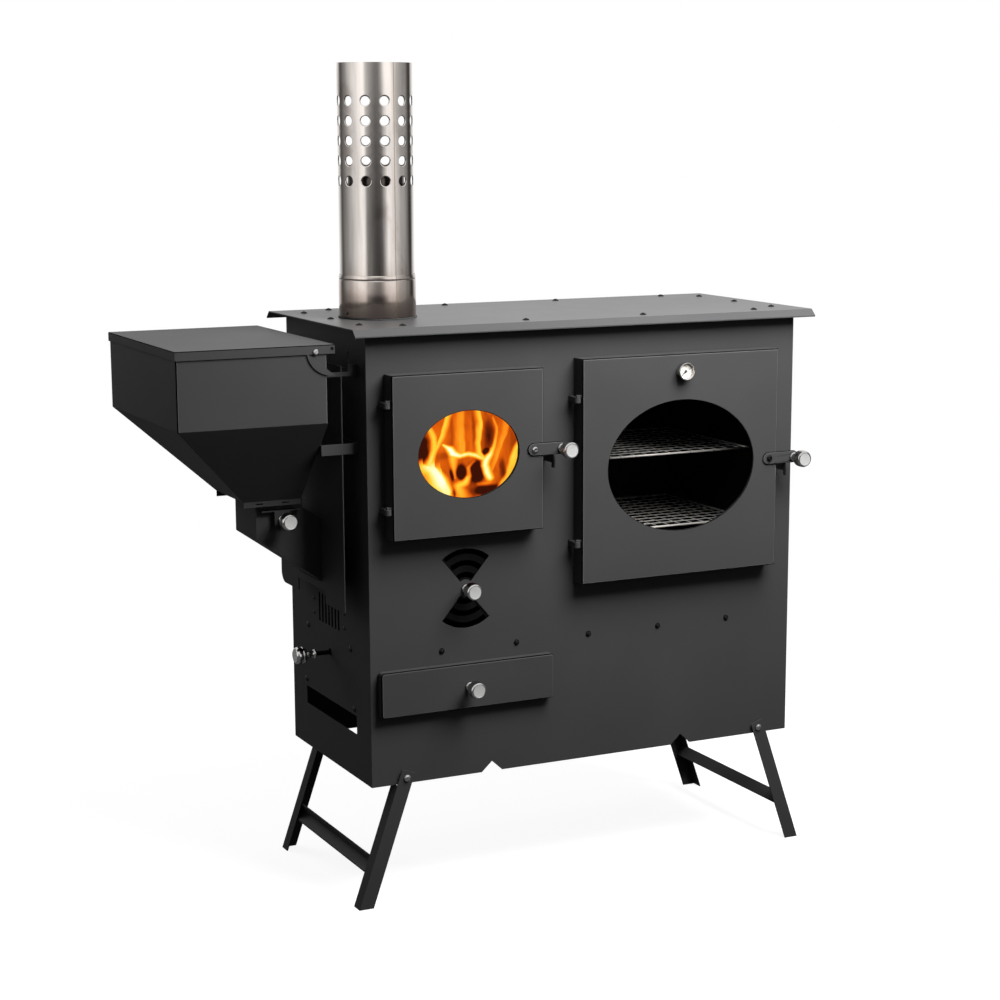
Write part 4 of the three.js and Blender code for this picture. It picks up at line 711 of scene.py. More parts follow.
def dial_mark_tree():
    """Marks round a dial, every fifth one longer."""
    tree, make, given = new_tree("dial_marks", {
        "Count": "Int", "Radius": "Float", "Length": "Float", "Width": "Float",
        "Middle": "Vector", "Sweep": "Float", "Finish": "Material"})
    zero = make.gathered(0.0, 0.0, 0.0)
    spots = line(make, given["Count"], zero, zero)
    index = make.node("GeometryNodeInputIndex")
    turn = given["Sweep"] * (0.5 - index / (given["Count"] - 1.0))
    spread = make.gathered(turn.sine() * given["Radius"] * -1.0, 0.0,
                           turn.cosine() * given["Radius"])
    ringed = make.node("GeometryNodeSetPosition", None, {"Geometry": spots, "Position": spread})
    bar = make.node("GeometryNodeMeshCube", None, {
        "Size": make.gathered(given["Width"], given["Width"] * 0.4, given["Length"])})
    major = 1.0 - index.maths("MODULO", index, 5.0).least(1.0)
    stretch = make.gathered(major + 1.0, 1.0, major * 0.7 + 1.0)
    angle = make.gathered(0.0, turn * -1.0, 0.0)
    euler = make.node("FunctionNodeEulerToRotation", None, {0: angle})
    placed = set_out(make, ringed, bar, Rotation=euler, Scale=stretch)
    printed = real(make, moved(make, placed, given["Middle"]))
    end_group(make, coated(make, printed, given["Finish"]))
    return tree


def pellet_tree():
    """Heap of short pellets, turned every way."""
    tree, make, given = new_tree("pellet_heap", {
        "Width": "Float", "Rise": "Float", "Density": "Float", "Radius": "Float",
        "Length": "Float", "Seed": "Int", "Middle": "Vector", "Finish": "Material"})
    floor = grid(make, given["Width"], given["Width"], 2, 2)
    spots = make.node("GeometryNodeDistributePointsOnFaces", None, {
        "Mesh": floor, "Density": given["Density"], "Seed": given["Seed"]})
    lift = make.node("FunctionNodeRandomValue", {"data_type": "FLOAT"},
                     {2: 0.0, 3: 1.0, "Seed": given["Seed"]}, 1)
    raised = make.node("GeometryNodeSetPosition", None, {
        "Geometry": spots, "Offset": make.gathered(0.0, 0.0, lift * given["Rise"])})
    whirl = make.node("FunctionNodeRandomValue", {"data_type": "FLOAT_VECTOR"}, {
        0: (0.9, -0.6, 0.0), 1: (2.1, 0.6, 2 * math.pi), "Seed": given["Seed"] + 1.0})
    turn = make.node("FunctionNodeEulerToRotation", None, {0: whirl})
    pellet = smooth(make, rod(make, 10, given["Radius"], given["Length"]))
    placed = set_out(make, raised, pellet, Rotation=turn)
    heap = real(make, moved(make, placed, given["Middle"]))
    end_group(make, coated(make, heap, given["Finish"]))
    return tree


# Pieces


# Rims: share of the reach at holes, least turn of a sharp edge, turn under which a sheet is flat,
# and how far a face of the rounding looks outwards to take the painted highlight
HOLE_SHARE = 0.4
RIM_TURN, FLAT_TURN = math.radians(40), math.radians(0.5)
PAINTED_HIGHLIGHT_FACING = 0.92


def rim_edges(shape, outward, centre, hole, reach):
    """Sharp edges of a solid's outward face, round its outline or round its holes.

    Sides too thin for the rounding are left out.
    """
    outer = max(vertex.co.dot(outward) for vertex in shape.verts) - 10 * MERGE_GAP
    picked = []
    for edge in shape.edges:
        if len(edge.link_faces) != 2 or edge.calc_face_angle_signed() < RIM_TURN:
            continue
        if min(vertex.co.dot(outward) for vertex in edge.verts) < outer:
            continue
        side = min(edge.link_faces, key=lambda face: face.normal.dot(outward))
        away = (edge.verts[0].co + edge.verts[1].co) / 2 - centre
        inward = away.dot(side.normal) <= 0
        depth = outer - min(vertex.co.dot(outward) for vertex in side.verts)
        if inward == hole and depth > reach:
            picked.append(edge)
    return picked


def edged(node, body, outward, reach):
    """Solid with its outward face rounded at the rim: a painted highlight line inside a painted shade
    line, and painted shade round its holes.
    """
    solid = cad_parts[node]
    shape = bmesh.new()
    shape.from_mesh(solid.data)
    shape.transform(solid.matrix_world)
    bmesh.ops.remove_doubles(shape, verts=shape.verts, dist=MERGE_GAP)
    bmesh.ops.dissolve_limit(shape, angle_limit=FLAT_TURN, verts=shape.verts, edges=shape.edges)
    bmesh.ops.recalc_face_normals(shape, faces=shape.faces)
    for face in shape.faces:
        face.material_index = 0
        face.smooth = False
    for hole, offset in ((False, reach), (True, reach * HOLE_SHARE)):
        picked = rim_edges(shape, outward, middle_of(node), hole, offset)
        if picked:
            made = bmesh.ops.bevel(
                shape, geom=picked, offset=offset, offset_type="OFFSET", segments=4, profile=0.5,
                affect="EDGES", clamp_overlap=False)
            # Faces of the rounding that look outwards take the lighter coat, a painted highlight; the
            # rest take the darker coat, painted shade
            for face in made["faces"]:
                painted_highlight = face.normal.dot(outward) > PAINTED_HIGHLIGHT_FACING and not hole
                face.material_index = 1 if painted_highlight else 2
    bmesh.ops.triangulate(shape, faces=shape.faces[:])
    mesh = bpy.data.meshes.new(node + "_edged")
    shape.to_mesh(mesh)
    shape.free()
    for finish in ("black_coat", "painted_highlight_edge", "painted_shade_edge"):
        mesh.materials.append(finish_named(finish))
    return kept(linked(node + "_edged", mesh), body, [node])


# Length of a knob in millimetres, from its base to the end of its head
KNOB_LENGTH = 31


def knob_profile():
    """Knob: base ring, neck, belled head, turned rim and a flat face."""
    metal, face = 0, 1
    outline = [
        (0.0, -5.0, metal), (2.2, -5.0, metal), (2.2, 0.0, metal), (6.3, 0.0, metal),
        (6.3, 2.5, metal), (4.7, 3.1, metal), (4.5, 7.0, metal), (5.2, 11.0, metal),
        (9.4, 15.2, metal), (11.5, 17.4, metal), (11.8, 20.0, metal), (11.3, 21.2, metal),
        (11.8, 22.4, metal), (11.8, 27.0, metal), (10.9, 29.6, metal), (9.3, 30.8, metal),
        (8.8, 30.5, face), (0.0, 30.5, face),
    ]
    return rounded(outline, 0.7, 3)


def end_of(node, axis):
    """Centre of a node's outer end along an axis."""
    low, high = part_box(node)
    return middle_of(node) + axis * abs((high - low).dot(axis)) / 2


def shown_knob(node, body, axis):
    base = end_of(node, axis) - axis * KNOB_LENGTH * MILLIMETRE
    made = turned_piece(node + "_turned", knob_profile(), base, axis,
                        ["polished_steel", "knob_face"])
    return kept(made, body, [node])


# A socket's share of its head's radius
SOCKET_SHARE = 0.36


def shown_bolt(node, body, finish):
    """Button head with a round socket on the latch pivot, and the shank behind it."""
    low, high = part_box(node)
    radius = (high.x - low.x) / 2 / MILLIMETRE
    cap, nut, socket = 2.75, 4.0, 1.6
    end = cap - (high.y - low.y) / MILLIMETRE
    # The socket's floor, band 1, takes the near-black finish: painted shade in the recess
    outline = [
        (0.0, end, 0), (4.4, end, 0), (4.4, end + nut, 0), (2.5, end + nut, 0), (2.5, 0.0, 0),
        (radius, 0.0, 0), (radius, 0.7, 0), (radius * 0.86, 1.7, 0), (radius * 0.6, cap, 0),
        (1.9, cap, 0), (1.6, cap - socket, 1), (0.0, cap - socket, 1),
    ]
    face = end_of(node, FORWARD) - FORWARD * cap * MILLIMETRE
    made = turned_piece(node + "_turned", rounded(outline, 0.5, 3), face, FORWARD,
                        [finish, "socket_painted_shade"], 48)
    return kept(made, body, [node])


def screw_set(name, spots, facing, looks, factor=1.0):
    """Black screw heads on the body, at places given in its millimetres."""
    radius = looks.head_radius * factor
    values = {
        "Radius": radius, "Height": looks.head_height * factor,
        "Socket Radius": radius * SOCKET_SHARE,
        "Head Finish": finish_named("black_oxide"), "Socket Painted Shade": finish_named("socket_painted_shade"),
    }
    points = [at(*spot) for spot in spots]
    made = grown(name, spot_mesh(name, points, facing), button_head_tree(), values)
    return kept(made, "root")


# Radius of a rack's rim wire, and the shares of a rack over which its two sets of wires spread
RACK_RIM = 1.7 * MILLIMETRE
LONG_SPREAD_SHARE, CROSS_SPREAD_SHARE = 13 / 15, 0.75


def shown_rack(node, looks):
    low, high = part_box(node)
    middle = middle_of(node)
    width, depth, _ = high - low
    values = {
        "Width": width - 2 * RACK_RIM, "Depth": depth - 2 * RACK_RIM,
        "Wire Radius": looks.wire_radius, "Rim Radius": RACK_RIM,
        "Long Spread": width * LONG_SPREAD_SHARE, "Cross Spread": depth * CROSS_SPREAD_SHARE,
        "Long Wires": looks.long_wires, "Cross Wires": looks.cross_wires,
        "Middle": Vector((middle.x, middle.y, low.z + RACK_RIM)),
        "Finish": finish_named("rack_steel"),
    }
    made = grown(node + "_wires", mesh_from(node, [], []), wire_rack_tree(), values)
    return kept(made, "root", [node])


# Chimney sleeve, in millimetres and degrees: holes round and up it, their rows' pitch, the top
# row's drop from the rim, where the first column stands, and its wall
HOLE_COLUMNS, HOLE_ROWS = 12, 5
ROW_PITCH, TOP_ROW_DROP, FIRST_COLUMN, SLEEVE_WALL = 26.4, 50, 7.5, 1.2
# Edge of a hole: steps away from it and how far each dips
HOLE_DIP = [(0.0, -0.6), (0.35, -0.2), (0.7, 0.0), (1.2, 0.0)]
SLEEVE_SHARP_TURN = math.radians(48)


def punched_cell(width, height, radius, sides=32):
    """Flat cell of sheet round one hole, with the hole's edge pressed in a little."""
    quarter = sides // 4
    rings = [[] for _ in range(len(HOLE_DIP) + 2)]
    for k in range(sides):
        turn = 2 * math.pi * (k - quarter / 2) / sides
        side, step = divmod(k, quarter)
        slide = step / quarter - 0.5
        corner = [(0.5, slide), (-slide, 0.5), (-0.5, -slide), (slide, -0.5)][side]
        rim = Vector((corner[0] * width, corner[1] * height, 0.0))
        out = Vector((math.cos(turn), math.sin(turn), 0.0))
        for ring, (reach, rise) in zip(rings, HOLE_DIP):
            ring.append(out * (radius + reach * MILLIMETRE) + UPWARD * rise * MILLIMETRE)
        rings[-2].append(rings[-3][-1].lerp(rim, 0.5))
        rings[-1].append(rim)
    points = [point for ring in rings for point in ring]
    faces = []
    for ring in range(len(rings) - 1):
        for k in range(sides):
            j = (k + 1) % sides
            faces.append([ring * sides + k, (ring + 1) * sides + k,
                          (ring + 1) * sides + j, ring * sides + j])
    return mesh_from("punched_cell", points, faces)


def shown_sleeve(looks):
    low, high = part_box("chimney_sleeve")
    radius = (high.y - low.y) / 2
    pitch = ROW_PITCH * MILLIMETRE
    height = high.z - low.z
    first = height - TOP_ROW_DROP * MILLIMETRE
    cell = punched_cell(2 * math.pi * radius / HOLE_COLUMNS, pitch, looks.hole_radius)
    middle = middle_of("chimney_sleeve")
    values = {
        "Radius": radius, "Columns": HOLE_COLUMNS, "Rows": HOLE_ROWS, "Row Pitch": pitch,
        "Rows Middle": first - pitch * (HOLE_ROWS - 1) / 2, "Height": height,
        "Turn": math.radians(FIRST_COLUMN),
        "Foot": Vector((middle.x, middle.y, low.z)), "Finish": finish_named("sleeve_steel"),
    }
    made = grown("chimney_sleeve_punched", cell, pipe_wall_tree(), values,
                 SLEEVE_WALL * MILLIMETRE)
    made.data.set_sharp_from_angle(angle=SLEEVE_SHARP_TURN)
    made.data.materials.append(finish_named("sleeve_inside_painted_shade"))
    # Faces that look into the pipe take the darkened steel: painted shade
    for face in made.data.polygons:
        out = face.center - middle
        if out.x * face.normal.x + out.y * face.normal.y < -radius / 4:
            face.material_index = 1
    return kept(made, "chimney", ["chimney_sleeve"])


def shown_pipe():
    """Inner pipe and the wider ring at the foot of the sleeve."""
    low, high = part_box("flue_pipe")
    ring_low, ring_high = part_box("chimney_base_ring")
    middle = middle_of("flue_pipe")
    foot = Vector((middle.x, middle.y, ring_low.z))
    top = (high.z - ring_low.z) / MILLIMETRE
    bottom = (low.z - ring_low.z) / MILLIMETRE
    bore, radius, bead = 36.8, 38.0, 41.2
    pipe = [(radius, bottom, 0), (radius, -1.0, 0), (bead, 0.2, 0), (bead, 1.4, 0),
            (radius, 2.6, 0), (radius, top, 0), (bore, top, 0), (bore, bottom, 0)]
    made = turned_piece("flue_pipe_rolled", pipe, foot, UPWARD, ["flue_steel_painted_shade"], 96, True)
    kept(made, "chimney", ["flue_pipe"])
    reach = (ring_high.x - ring_low.x) / 2 / MILLIMETRE
    tall = (ring_high.z - ring_low.z) / MILLIMETRE
    inner = reach - SLEEVE_WALL
    ring = [(inner, 0.0, 0), (reach - 0.3, 0.0, 0), (reach, 0.6, 0), (reach, tall - 8.0, 0),
            (reach - 0.7, tall - 6.6, 0), (reach - 0.1, tall - 5.4, 0),
            (reach - 0.15, tall - 3.6, 0), (reach - 1.0, tall - 0.4, 0), (inner, tall, 0)]
    made = turned_piece("chimney_base_ring_rolled", ring, foot, UPWARD, ["sleeve_steel"], 96, True)
    kept(made, "chimney", ["chimney_base_ring"])


# Thermometer, in millimetres and degrees: depth of its case, marks and numbers of its dial
CASE_DEPTH = 12.1
DIAL_SWEEP, DIAL_MARKS, DIAL_NUMBERS = 270, 41, 5
MARK_RADIUS, MARK_LENGTH, MARK_WIDTH, MARK_LIFT = 9.0, 0.5, 0.12, 0.05
NUMBER_RADIUS, NUMBER_SIZE, NUMBER_THICKNESS = 6.2, 1.8, 0.03


def shown_case(face):
    base = face - FORWARD * CASE_DEPTH * MILLIMETRE
    outline = [
        (0.0, -6.0), (2.5, -6.0), (2.5, 0.0), (11.0, 0.0), (11.3, 1.0), (11.3, 8.4), (12.2, 9.0),
        (12.5, 10.0), (12.5, 11.2), (11.9, CASE_DEPTH), (11.2, CASE_DEPTH), (10.8, 11.4),
        (10.8, 6.0), (0.0, 6.0),
    ]
    bands = [(radius, height, 0) for radius, height in outline]
    made = turned_piece("thermometer_case_turned", rounded(bands, 0.4, 2), base, FORWARD,
                        ["polished_steel"])
    kept(made, "oven_door", ["thermometer_case"])


def shown_number(number, middle, turn):
    """One number of the dial, printed where it stands at that turn."""
    words = bpy.data.curves.new("dial_number", "FONT")
    words.body = str(number * 100)
    words.size = NUMBER_SIZE * MILLIMETRE
    words.extrude = NUMBER_THICKNESS * MILLIMETRE
    words.align_x = "CENTER"
    words.align_y = "CENTER"
    printed = plain(linked("number_source", words), "dial_number_" + str(number))
    out = Vector((-math.sin(turn), 0.0, math.cos(turn)))
    spot = middle + out * NUMBER_RADIUS * MILLIMETRE
    for vertex in printed.data.vertices:
        x, y, z = vertex.co
        vertex.co = spot + Vector((x, -z, y))
    printed.data.materials.clear()
    printed.data.materials.append(finish_named("dial_black"))
    kept(printed, "oven_door")


def shown_thermometer():
    face = end_of("thermometer_case", FORWARD)
    shown_case(face)
    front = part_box("thermometer_dial")[0].y
    middle = Vector((face.x, front - MARK_LIFT * MILLIMETRE, face.z))
    values = {
        "Count": DIAL_MARKS, "Radius": MARK_RADIUS * MILLIMETRE,
        "Length": MARK_LENGTH * MILLIMETRE, "Width": MARK_WIDTH * MILLIMETRE,
        "Middle": middle, "Sweep": math.radians(DIAL_SWEEP), "Finish": finish_named("dial_black"),
    }
    marks = grown("dial_marks", mesh_from("marks", [], []), dial_mark_tree(), values)
    kept(marks, "oven_door")
    for number in range(DIAL_NUMBERS):
        turn = DIAL_SWEEP * (0.5 - number / (DIAL_NUMBERS - 1))
        shown_number(number, middle, math.radians(turn))


# Fire


# Tongues of fire, in shares of the window's width and height from its lower left.
# Each has the side that is sharp, then across, up, half width and hotness along it.
TONGUES = [
    (1, [(0.04, 0.41, 0.13, 0.86), (0.17, 0.35, 0.19, 0.98), (0.23, 0.22, 0.23, 1.0),
         (0.28, 0.10, 0.2, 0.9), (0.33, 0.0, 0.15, 0.8)]),
    (0, [(0.08, 0.38, 0.07, 0.8), (0.13, 0.47, 0.055, 0.8), (0.165, 0.58, 0.05, 0.78),
         (0.15, 0.72, 0.045, 0.74), (0.11, 0.84, 0.04, 0.7)]),
    (-1, [(0.165, 0.56, 0.04, 0.76), (0.205, 0.70, 0.055, 0.76), (0.24, 0.83, 0.06, 0.76),
          (0.30, 1.06, 0.06, 0.7)]),
    (1, [(0.44, 0.53, 0.10, 0.62), (0.42, 0.70, 0.13, 0.6), (0.42, 0.86, 0.14, 0.56),
         (0.43, 1.1, 0.12, 0.5)]),
    (1, [(0.645, 0.46, 0.04, 0.8), (0.598, 0.53, 0.06, 0.78), (0.588, 0.65, 0.075, 0.76),
         (0.612, 0.80, 0.08, 0.76), (0.625, 0.88, 0.07, 0.74), (0.60, 1.08, 0.07, 0.7)]),
    (0, [(0.75, 0.92, 0.02, 0.52), (0.785, 0.81, 0.026, 0.6), (0.772, 0.69, 0.03, 0.64),
         (0.745, 0.57, 0.034, 0.76), (0.71, 0.50, 0.05, 0.88), (0.662, 0.43, 0.06, 0.96),
         (0.645, 0.37, 0.06, 1.0), (0.67, 0.29, 0.055, 0.98), (0.70, 0.22, 0.05, 0.9)]),
    (-1, [(1.05, 0.70, 0.12, 0.72), (0.97, 0.44, 0.16, 0.76), (0.88, 0.25, 0.13, 0.7),
          (0.77, 0.08, 0.10, 0.62)]),
    (1, [(0.93, 0.98, 0.09, 0.54), (0.88, 0.72, 0.10, 0.56), (0.80, 0.50, 0.09, 0.58),
         (0.72, 0.30, 0.06, 0.52)]),
    (0, [(0.24, 0.635, 0.016, 0.86), (0.31, 0.585, 0.05, 1.04), (0.345, 0.53, 0.055, 1.04),
         (0.41, 0.497, 0.04, 0.92), (0.49, 0.51, 0.042, 0.9), (0.56, 0.50, 0.042, 0.9),
         (0.64, 0.445, 0.03, 0.84)]),
    (0, [(0.355, 0.50, 0.07, 0.72), (0.362, 0.36, 0.05, 0.62), (0.362, 0.23, 0.02, 0.56)]),
    (0, [(0.545, 0.42, 0.03, 0.55), (0.505, 0.34, 0.032, 0.7), (0.515, 0.25, 0.04, 0.74),
         (0.46, 0.19, 0.06, 0.8), (0.39, 0.14, 0.07, 0.72), (0.43, 0.0, 0.12, 0.6)]),
    (0, [(0.60, 0.15, 0.05, 0.5), (0.70, 0.17, 0.05, 0.5)]),
]
# Dark clumps and gaps: across, up, half width, half height and depth of the shade
CLUMPS = [
    (0.575, 0.30, 0.062, 0.12, 0.85), (0.43, 0.30, 0.045, 0.085, 0.7), (0.335, 0.27, 0.02, 0.07, 0.4),
    (0.69, 0.07, 0.13, 0.065, 0.62), (0.03, 0.55, 0.07, 0.13, 0.5), (0.665, 0.53, 0.04, 0.035, 0.5),
    (0.335, 0.03, 0.03, 0.07, 0.4), (0.70, 0.74, 0.05, 0.17, 0.2), (0.25, 0.50, 0.07, 0.05, 0.12),
    (0.83, 0.33, 0.035, 0.12, 0.2), (0.535, 0.78, 0.02, 0.2, 0.16), (0.33, 0.80, 0.02, 0.16, 0.1),
    (0.04, 0.70, 0.05, 0.06, 0.25),
]
# Where the window is on a sheet of fire, in shares of the sheet
WINDOW_LEFT, WINDOW_WIDE = 0.256, 0.710
WINDOW_FOOT, WINDOW_TALL = 0.171, 0.564
# Sheets of fire: name, depth behind the liner's front in millimetres, points across and up, shift
FLAMES = [
    ("flames_front", 22, 190, 160, 0.0),
    ("flames_middle", 70, 90, 80, 1.0),
    ("flames_back", 140, 90, 80, -1.0),
]
FLAME_GAP = 5 * MILLIMETRE


def tongue_heat(across, up, sharp, tongue):
    """Heat that one tongue gives, brightest along its line and steep on its sharp side."""
    heat = np.zeros_like(across)
    for (x0, y0, w0, h0), (x1, y1, w1, h1) in zip(tongue, tongue[1:]):
        dx, dy = x1 - x0, y1 - y0
        along = np.clip(((across - x0) * dx + (up - y0) * dy) / (dx * dx + dy * dy), 0, 1)
        aside = across - x0 - along * dx
        gap = np.hypot(aside, up - y0 - along * dy)
        width = (w0 + (w1 - w0) * along) * np.where(aside * sharp > 0, 0.3, 1.0)
        heat = np.maximum(heat, (h0 + (h1 - h0) * along) * np.exp(-((gap / width) ** 2)))
    return heat


def flame_sheet(name, depth, columns, rows, shift):
    """Wavy sheet of fire across the firebox at a depth, with its hotness kept per point."""
    low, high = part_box("firebox_liner")
    front = low.y + depth * MILLIMETRE
    left, right = low.x + FLAME_GAP, high.x - FLAME_GAP
    bottom, top = low.z + FLAME_GAP, high.z - FLAME_GAP
    across, up = np.meshgrid(np.linspace(0, 1, columns), np.linspace(0, 1, rows))
    seen = (across - WINDOW_LEFT) / WINDOW_WIDE + shift * 0.13
    rise = (up - WINDOW_FOOT) / WINDOW_TALL
    drift = 0.004 * np.sin(rise * 13 + seen * 8) + 0.0015 * np.sin(rise * 41 + seen * 23)
    seen = seen + drift
    lift = rise + 0.006 * np.sin(seen * 29 + rise * 7)
    heat = 0.33 + 0.08 * np.sin(seen * 21 + shift * 3) * np.cos(lift * 5 + shift)
    for sharp, tongue in TONGUES:
        heat = np.maximum(heat, tongue_heat(seen, lift, sharp, tongue))
    for x, y, width, height, depth_of_shade in CLUMPS:
        gap = ((seen - x) / width) ** 2 + ((lift - y) / height) ** 2
        heat -= depth_of_shade * np.exp(-(gap ** 1.6)) * np.clip(1.5 - heat, 0.25, 1)
    crest = 0.86 + 0.1 * np.sin(across * 23 + shift * 5) + 0.05 * np.sin(across * 41 + shift)
    thickness = np.clip((crest - up) * 4.0 + 0.3, 0, 1.2) * np.clip((1.0 - up) * 9, 0, 1)
    wave = 0.004 * np.sin(across * 11 + up * 7 + shift) + 0.002 * np.sin(up * 19 + shift * 2)
    points = np.stack([left + (right - left) * across, front + wave,
                       bottom + (top - bottom) * up], axis=-1).reshape(-1, 3)
    faces = []
    for row in range(rows - 1):
        for column in range(columns - 1):
            corner = row * columns + column
            faces.append([corner, corner + 1, corner + columns + 1, corner + columns])
    mesh = mesh_from(name, points.tolist(), faces)
    for label, values in (("hotness", heat), ("thickness", thickness)):
        layer = mesh.attributes.new(label, "FLOAT", "POINT")
        layer.data.foreach_set("value", values.astype(np.float32).ravel())
    mesh.polygons.foreach_set("use_smooth", [True] * len(mesh.polygons))
    mesh.materials.append(finish_named("flames"))
    return kept(linked(name, mesh), "root")


# Heap of pellets, in millimetres: its width, its height, its depth under the pot's rim, how many
# lie on a square metre, and a pellet's length as a multiple of its radius
HEAP_WIDTH, HEAP_RISE, HEAP_DROP = 70, 13, 16
HEAP_DENSITY = 60000.0
PELLET_SLENDERNESS = 5.0


def ember_heap(looks):
    middle = middle_of("burner_pot")
    middle.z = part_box("burner_pot")[1].z - HEAP_DROP * MILLIMETRE
    values = {
        "Width": HEAP_WIDTH * MILLIMETRE, "Rise": HEAP_RISE * MILLIMETRE,
        "Density": HEAP_DENSITY,
        "Radius": looks.pellet_radius, "Length": looks.pellet_radius * PELLET_SLENDERNESS,
        "Seed": looks.pellet_seed, "Middle": middle, "Finish": finish_named("embers"),
    }
    made = grown("burning_pellets", mesh_from("pellets", [], []), pellet_tree(), values)
    return kept(made, "root")


# Stage


# Camera: its place in metres, turn and tilt in degrees, lens in millimetres, and shift
EYE = (-1.30579, -2.79196, 1.06077)
CAMERA_TURN, CAMERA_TILT = 26.943, 11.006
LENS, SENSOR = 79.785, 36.0
LENS_SHIFT = (-0.04593, 0.04592)
# Lamps: name, place, what each faces, width in metres and power in watts
LAMPS = [
    ("key_light", (0.42, -0.78, 1.58), (0.2, 0.0, 0.9), 0.9, 45.0),
    ("fill_light", (-0.3, -3.4, 1.1), (0.0, 0.0, 0.5), 1.6, 1.0),
    ("top_light", (1.0, 0.3, 2.4), (0.1, 0.0, 0.6), 1.4, 6.0),
    ("back_light", (-1.2, 2.6, 1.5), (0.0, 0.0, 0.5), 1.6, 30.0),
]
WORLD_STRENGTH = 0.055
# Studio wall, in metres: its distance, its top, and the heights between which its tone changes
WALL_AWAY, WALL_TOP, WALL_STEPS = 6.0, 4.0, 240
WALL_CHANGE = (0.6, 1.5)
# Tones of the wall: degrees from the camera's side, brightness low down and high up
WALL_TONES = [
    (-180, 1.0, 1.0), (-150, 0.9, 0.9), (-140, 0.5, 0.5), (-129, 0.09, 0.07), (-120, 0.14, 0.16),
    (-108, 0.24, 0.34), (-94, 0.38, 0.57), (-81, 0.54, 0.73), (-69, 0.73, 1.04), (-58, 0.98, 1.25),
    (-48, 1.14, 1.3), (-36, 1.23, 1.35), (-32, 0.8, 1.1), (-28, 0.3, 0.77), (-18.7, 0.2, 0.6),
    (-9.3, 0.085, 0.38), (0, 0.052, 0.28), (9.3, 0.055, 0.3), (18.7, 0.11, 0.6), (28, 0.55, 1.3),
    (36, 1.12, 1.33), (48, 1.0, 1.3), (58, 0.81, 1.0), (69, 0.65, 0.7), (81, 0.49, 0.56),
    (94, 0.4, 0.42), (108, 0.26, 0.28), (118, 0.08, 0.08), (130, 0.03, 0.03), (138, 0.4, 0.4),
    (150, 0.9, 0.9), (180, 1.0, 1.0),
]


def plain_rays(make):
    """1 for rays that see the background: those of the camera, of gloss and of glass."""
    seen = [make.node("ShaderNodeLightPath", out=name) for name in
            ("Is Camera Ray", "Is Glossy Ray", "Is Transmission Ray")]
    return seen[0].most(seen[1]).most(seen[2])


# Floor, in metres from its middle and as brightness
FLOOR_REACH = 40.0
SHADOW_FULL, SHADOW_GONE = 0.8, 2.4
FLOOR_IN_GLOSS, FLOOR_BOUNCE = 0.12, 0.012


def lay_floor():
    """White floor with the object's shadow on it near the middle."""
    finish, make = new_finish("floor")
    x, y, _ = make.parted(make.place())
    away = ((x * x + y * y) ** 0.5).step(SHADOW_FULL, SHADOW_GONE)
    shaded = make.node("ShaderNodeAddShader", None, {0: make.chalk(0.3), 1: make.glow(0.9)})
    faded = make.blend(away, shaded, make.glow(1.0))
    glossy = make.node("ShaderNodeLightPath", out="Is Glossy Ray")
    seen = make.blend(glossy, faded, make.glow(FLOOR_IN_GLOSS))
    make.end(make.blend(plain_rays(make), make.chalk(FLOOR_BOUNCE), seen))
    far = FLOOR_REACH
    corners = [(-far, -far, 0), (far, -far, 0), (far, far, 0), (-far, far, 0)]
    mesh = mesh_from("floor", corners, [(0, 1, 2, 3)])
    mesh.materials.append(finish)
    linked("floor", mesh)


def hang_studio_wall():
    """Round wall of the studio, seen only in gloss. Its tone changes round it and with height."""
    finish, make = new_finish("studio_wall")
    height = make.parted(make.place())[2].step(*WALL_CHANGE)
    lower, upper = make.attribute("lower_tone"), make.attribute("upper_tone")
    make.end(make.glow(lower + (upper - lower) * height, (1.0, 0.99, 0.985)))
    middle = middle_of("chimney_sleeve")
    towards = math.atan2(EYE[0] - middle.x, EYE[1] - middle.y)
    turns = np.linspace(-180, 180, WALL_STEPS + 1)
    angles = towards - np.radians(turns)
    across = middle.x + WALL_AWAY * np.sin(angles)
    back = middle.y + WALL_AWAY * np.cos(angles)
    points = [(x, y, z) for x, y in zip(across, back) for z in (0.0, WALL_TOP)]
    faces = [(2 * i, 2 * i + 2, 2 * i + 3, 2 * i + 1) for i in range(WALL_STEPS)]
    mesh = mesh_from("studio_wall", points, faces)
    degrees, *tones = np.array(WALL_TONES).T
    for label, row in zip(("lower_tone", "upper_tone"), tones):
        layer = mesh.attributes.new(label, "FLOAT", "POINT")
        values = np.interp(turns, degrees, row).astype(np.float32)
        layer.data.foreach_set("value", np.repeat(values, 2))
    mesh.materials.append(finish)
    wall = linked("studio_wall", mesh)
    for ray in ("camera", "diffuse", "shadow", "transmission"):
        setattr(wall, "visible_" + ray, False)


def light_world():
    world = bpy.data.worlds.new("studio")
    bpy.context.scene.world = world
    world.use_nodes = True
    world.node_tree.nodes.clear()
    make = Maker(world.node_tree)
    dim, white = [make.node("ShaderNodeBackground", None, {
        "Color": opaque((1.0, 1.0, 1.0)), "Strength": strength}) for strength in (WORLD_STRENGTH, 1.0)]
    make.node("ShaderNodeOutputWorld", None, {"Surface": make.blend(plain_rays(make), dim, white)})


def hang_light(name, place, aim, size, power):
    lamp = bpy.data.lights.new(name, "AREA")
    lamp.size = size
    lamp.energy = power
    hung = linked(name, lamp)
    hung.visible_glossy = False
    hung.location = place
    hung.rotation_mode = "QUATERNION"
    hung.rotation_quaternion = (Vector(aim) - hung.location).to_track_quat("-Z", "Y")


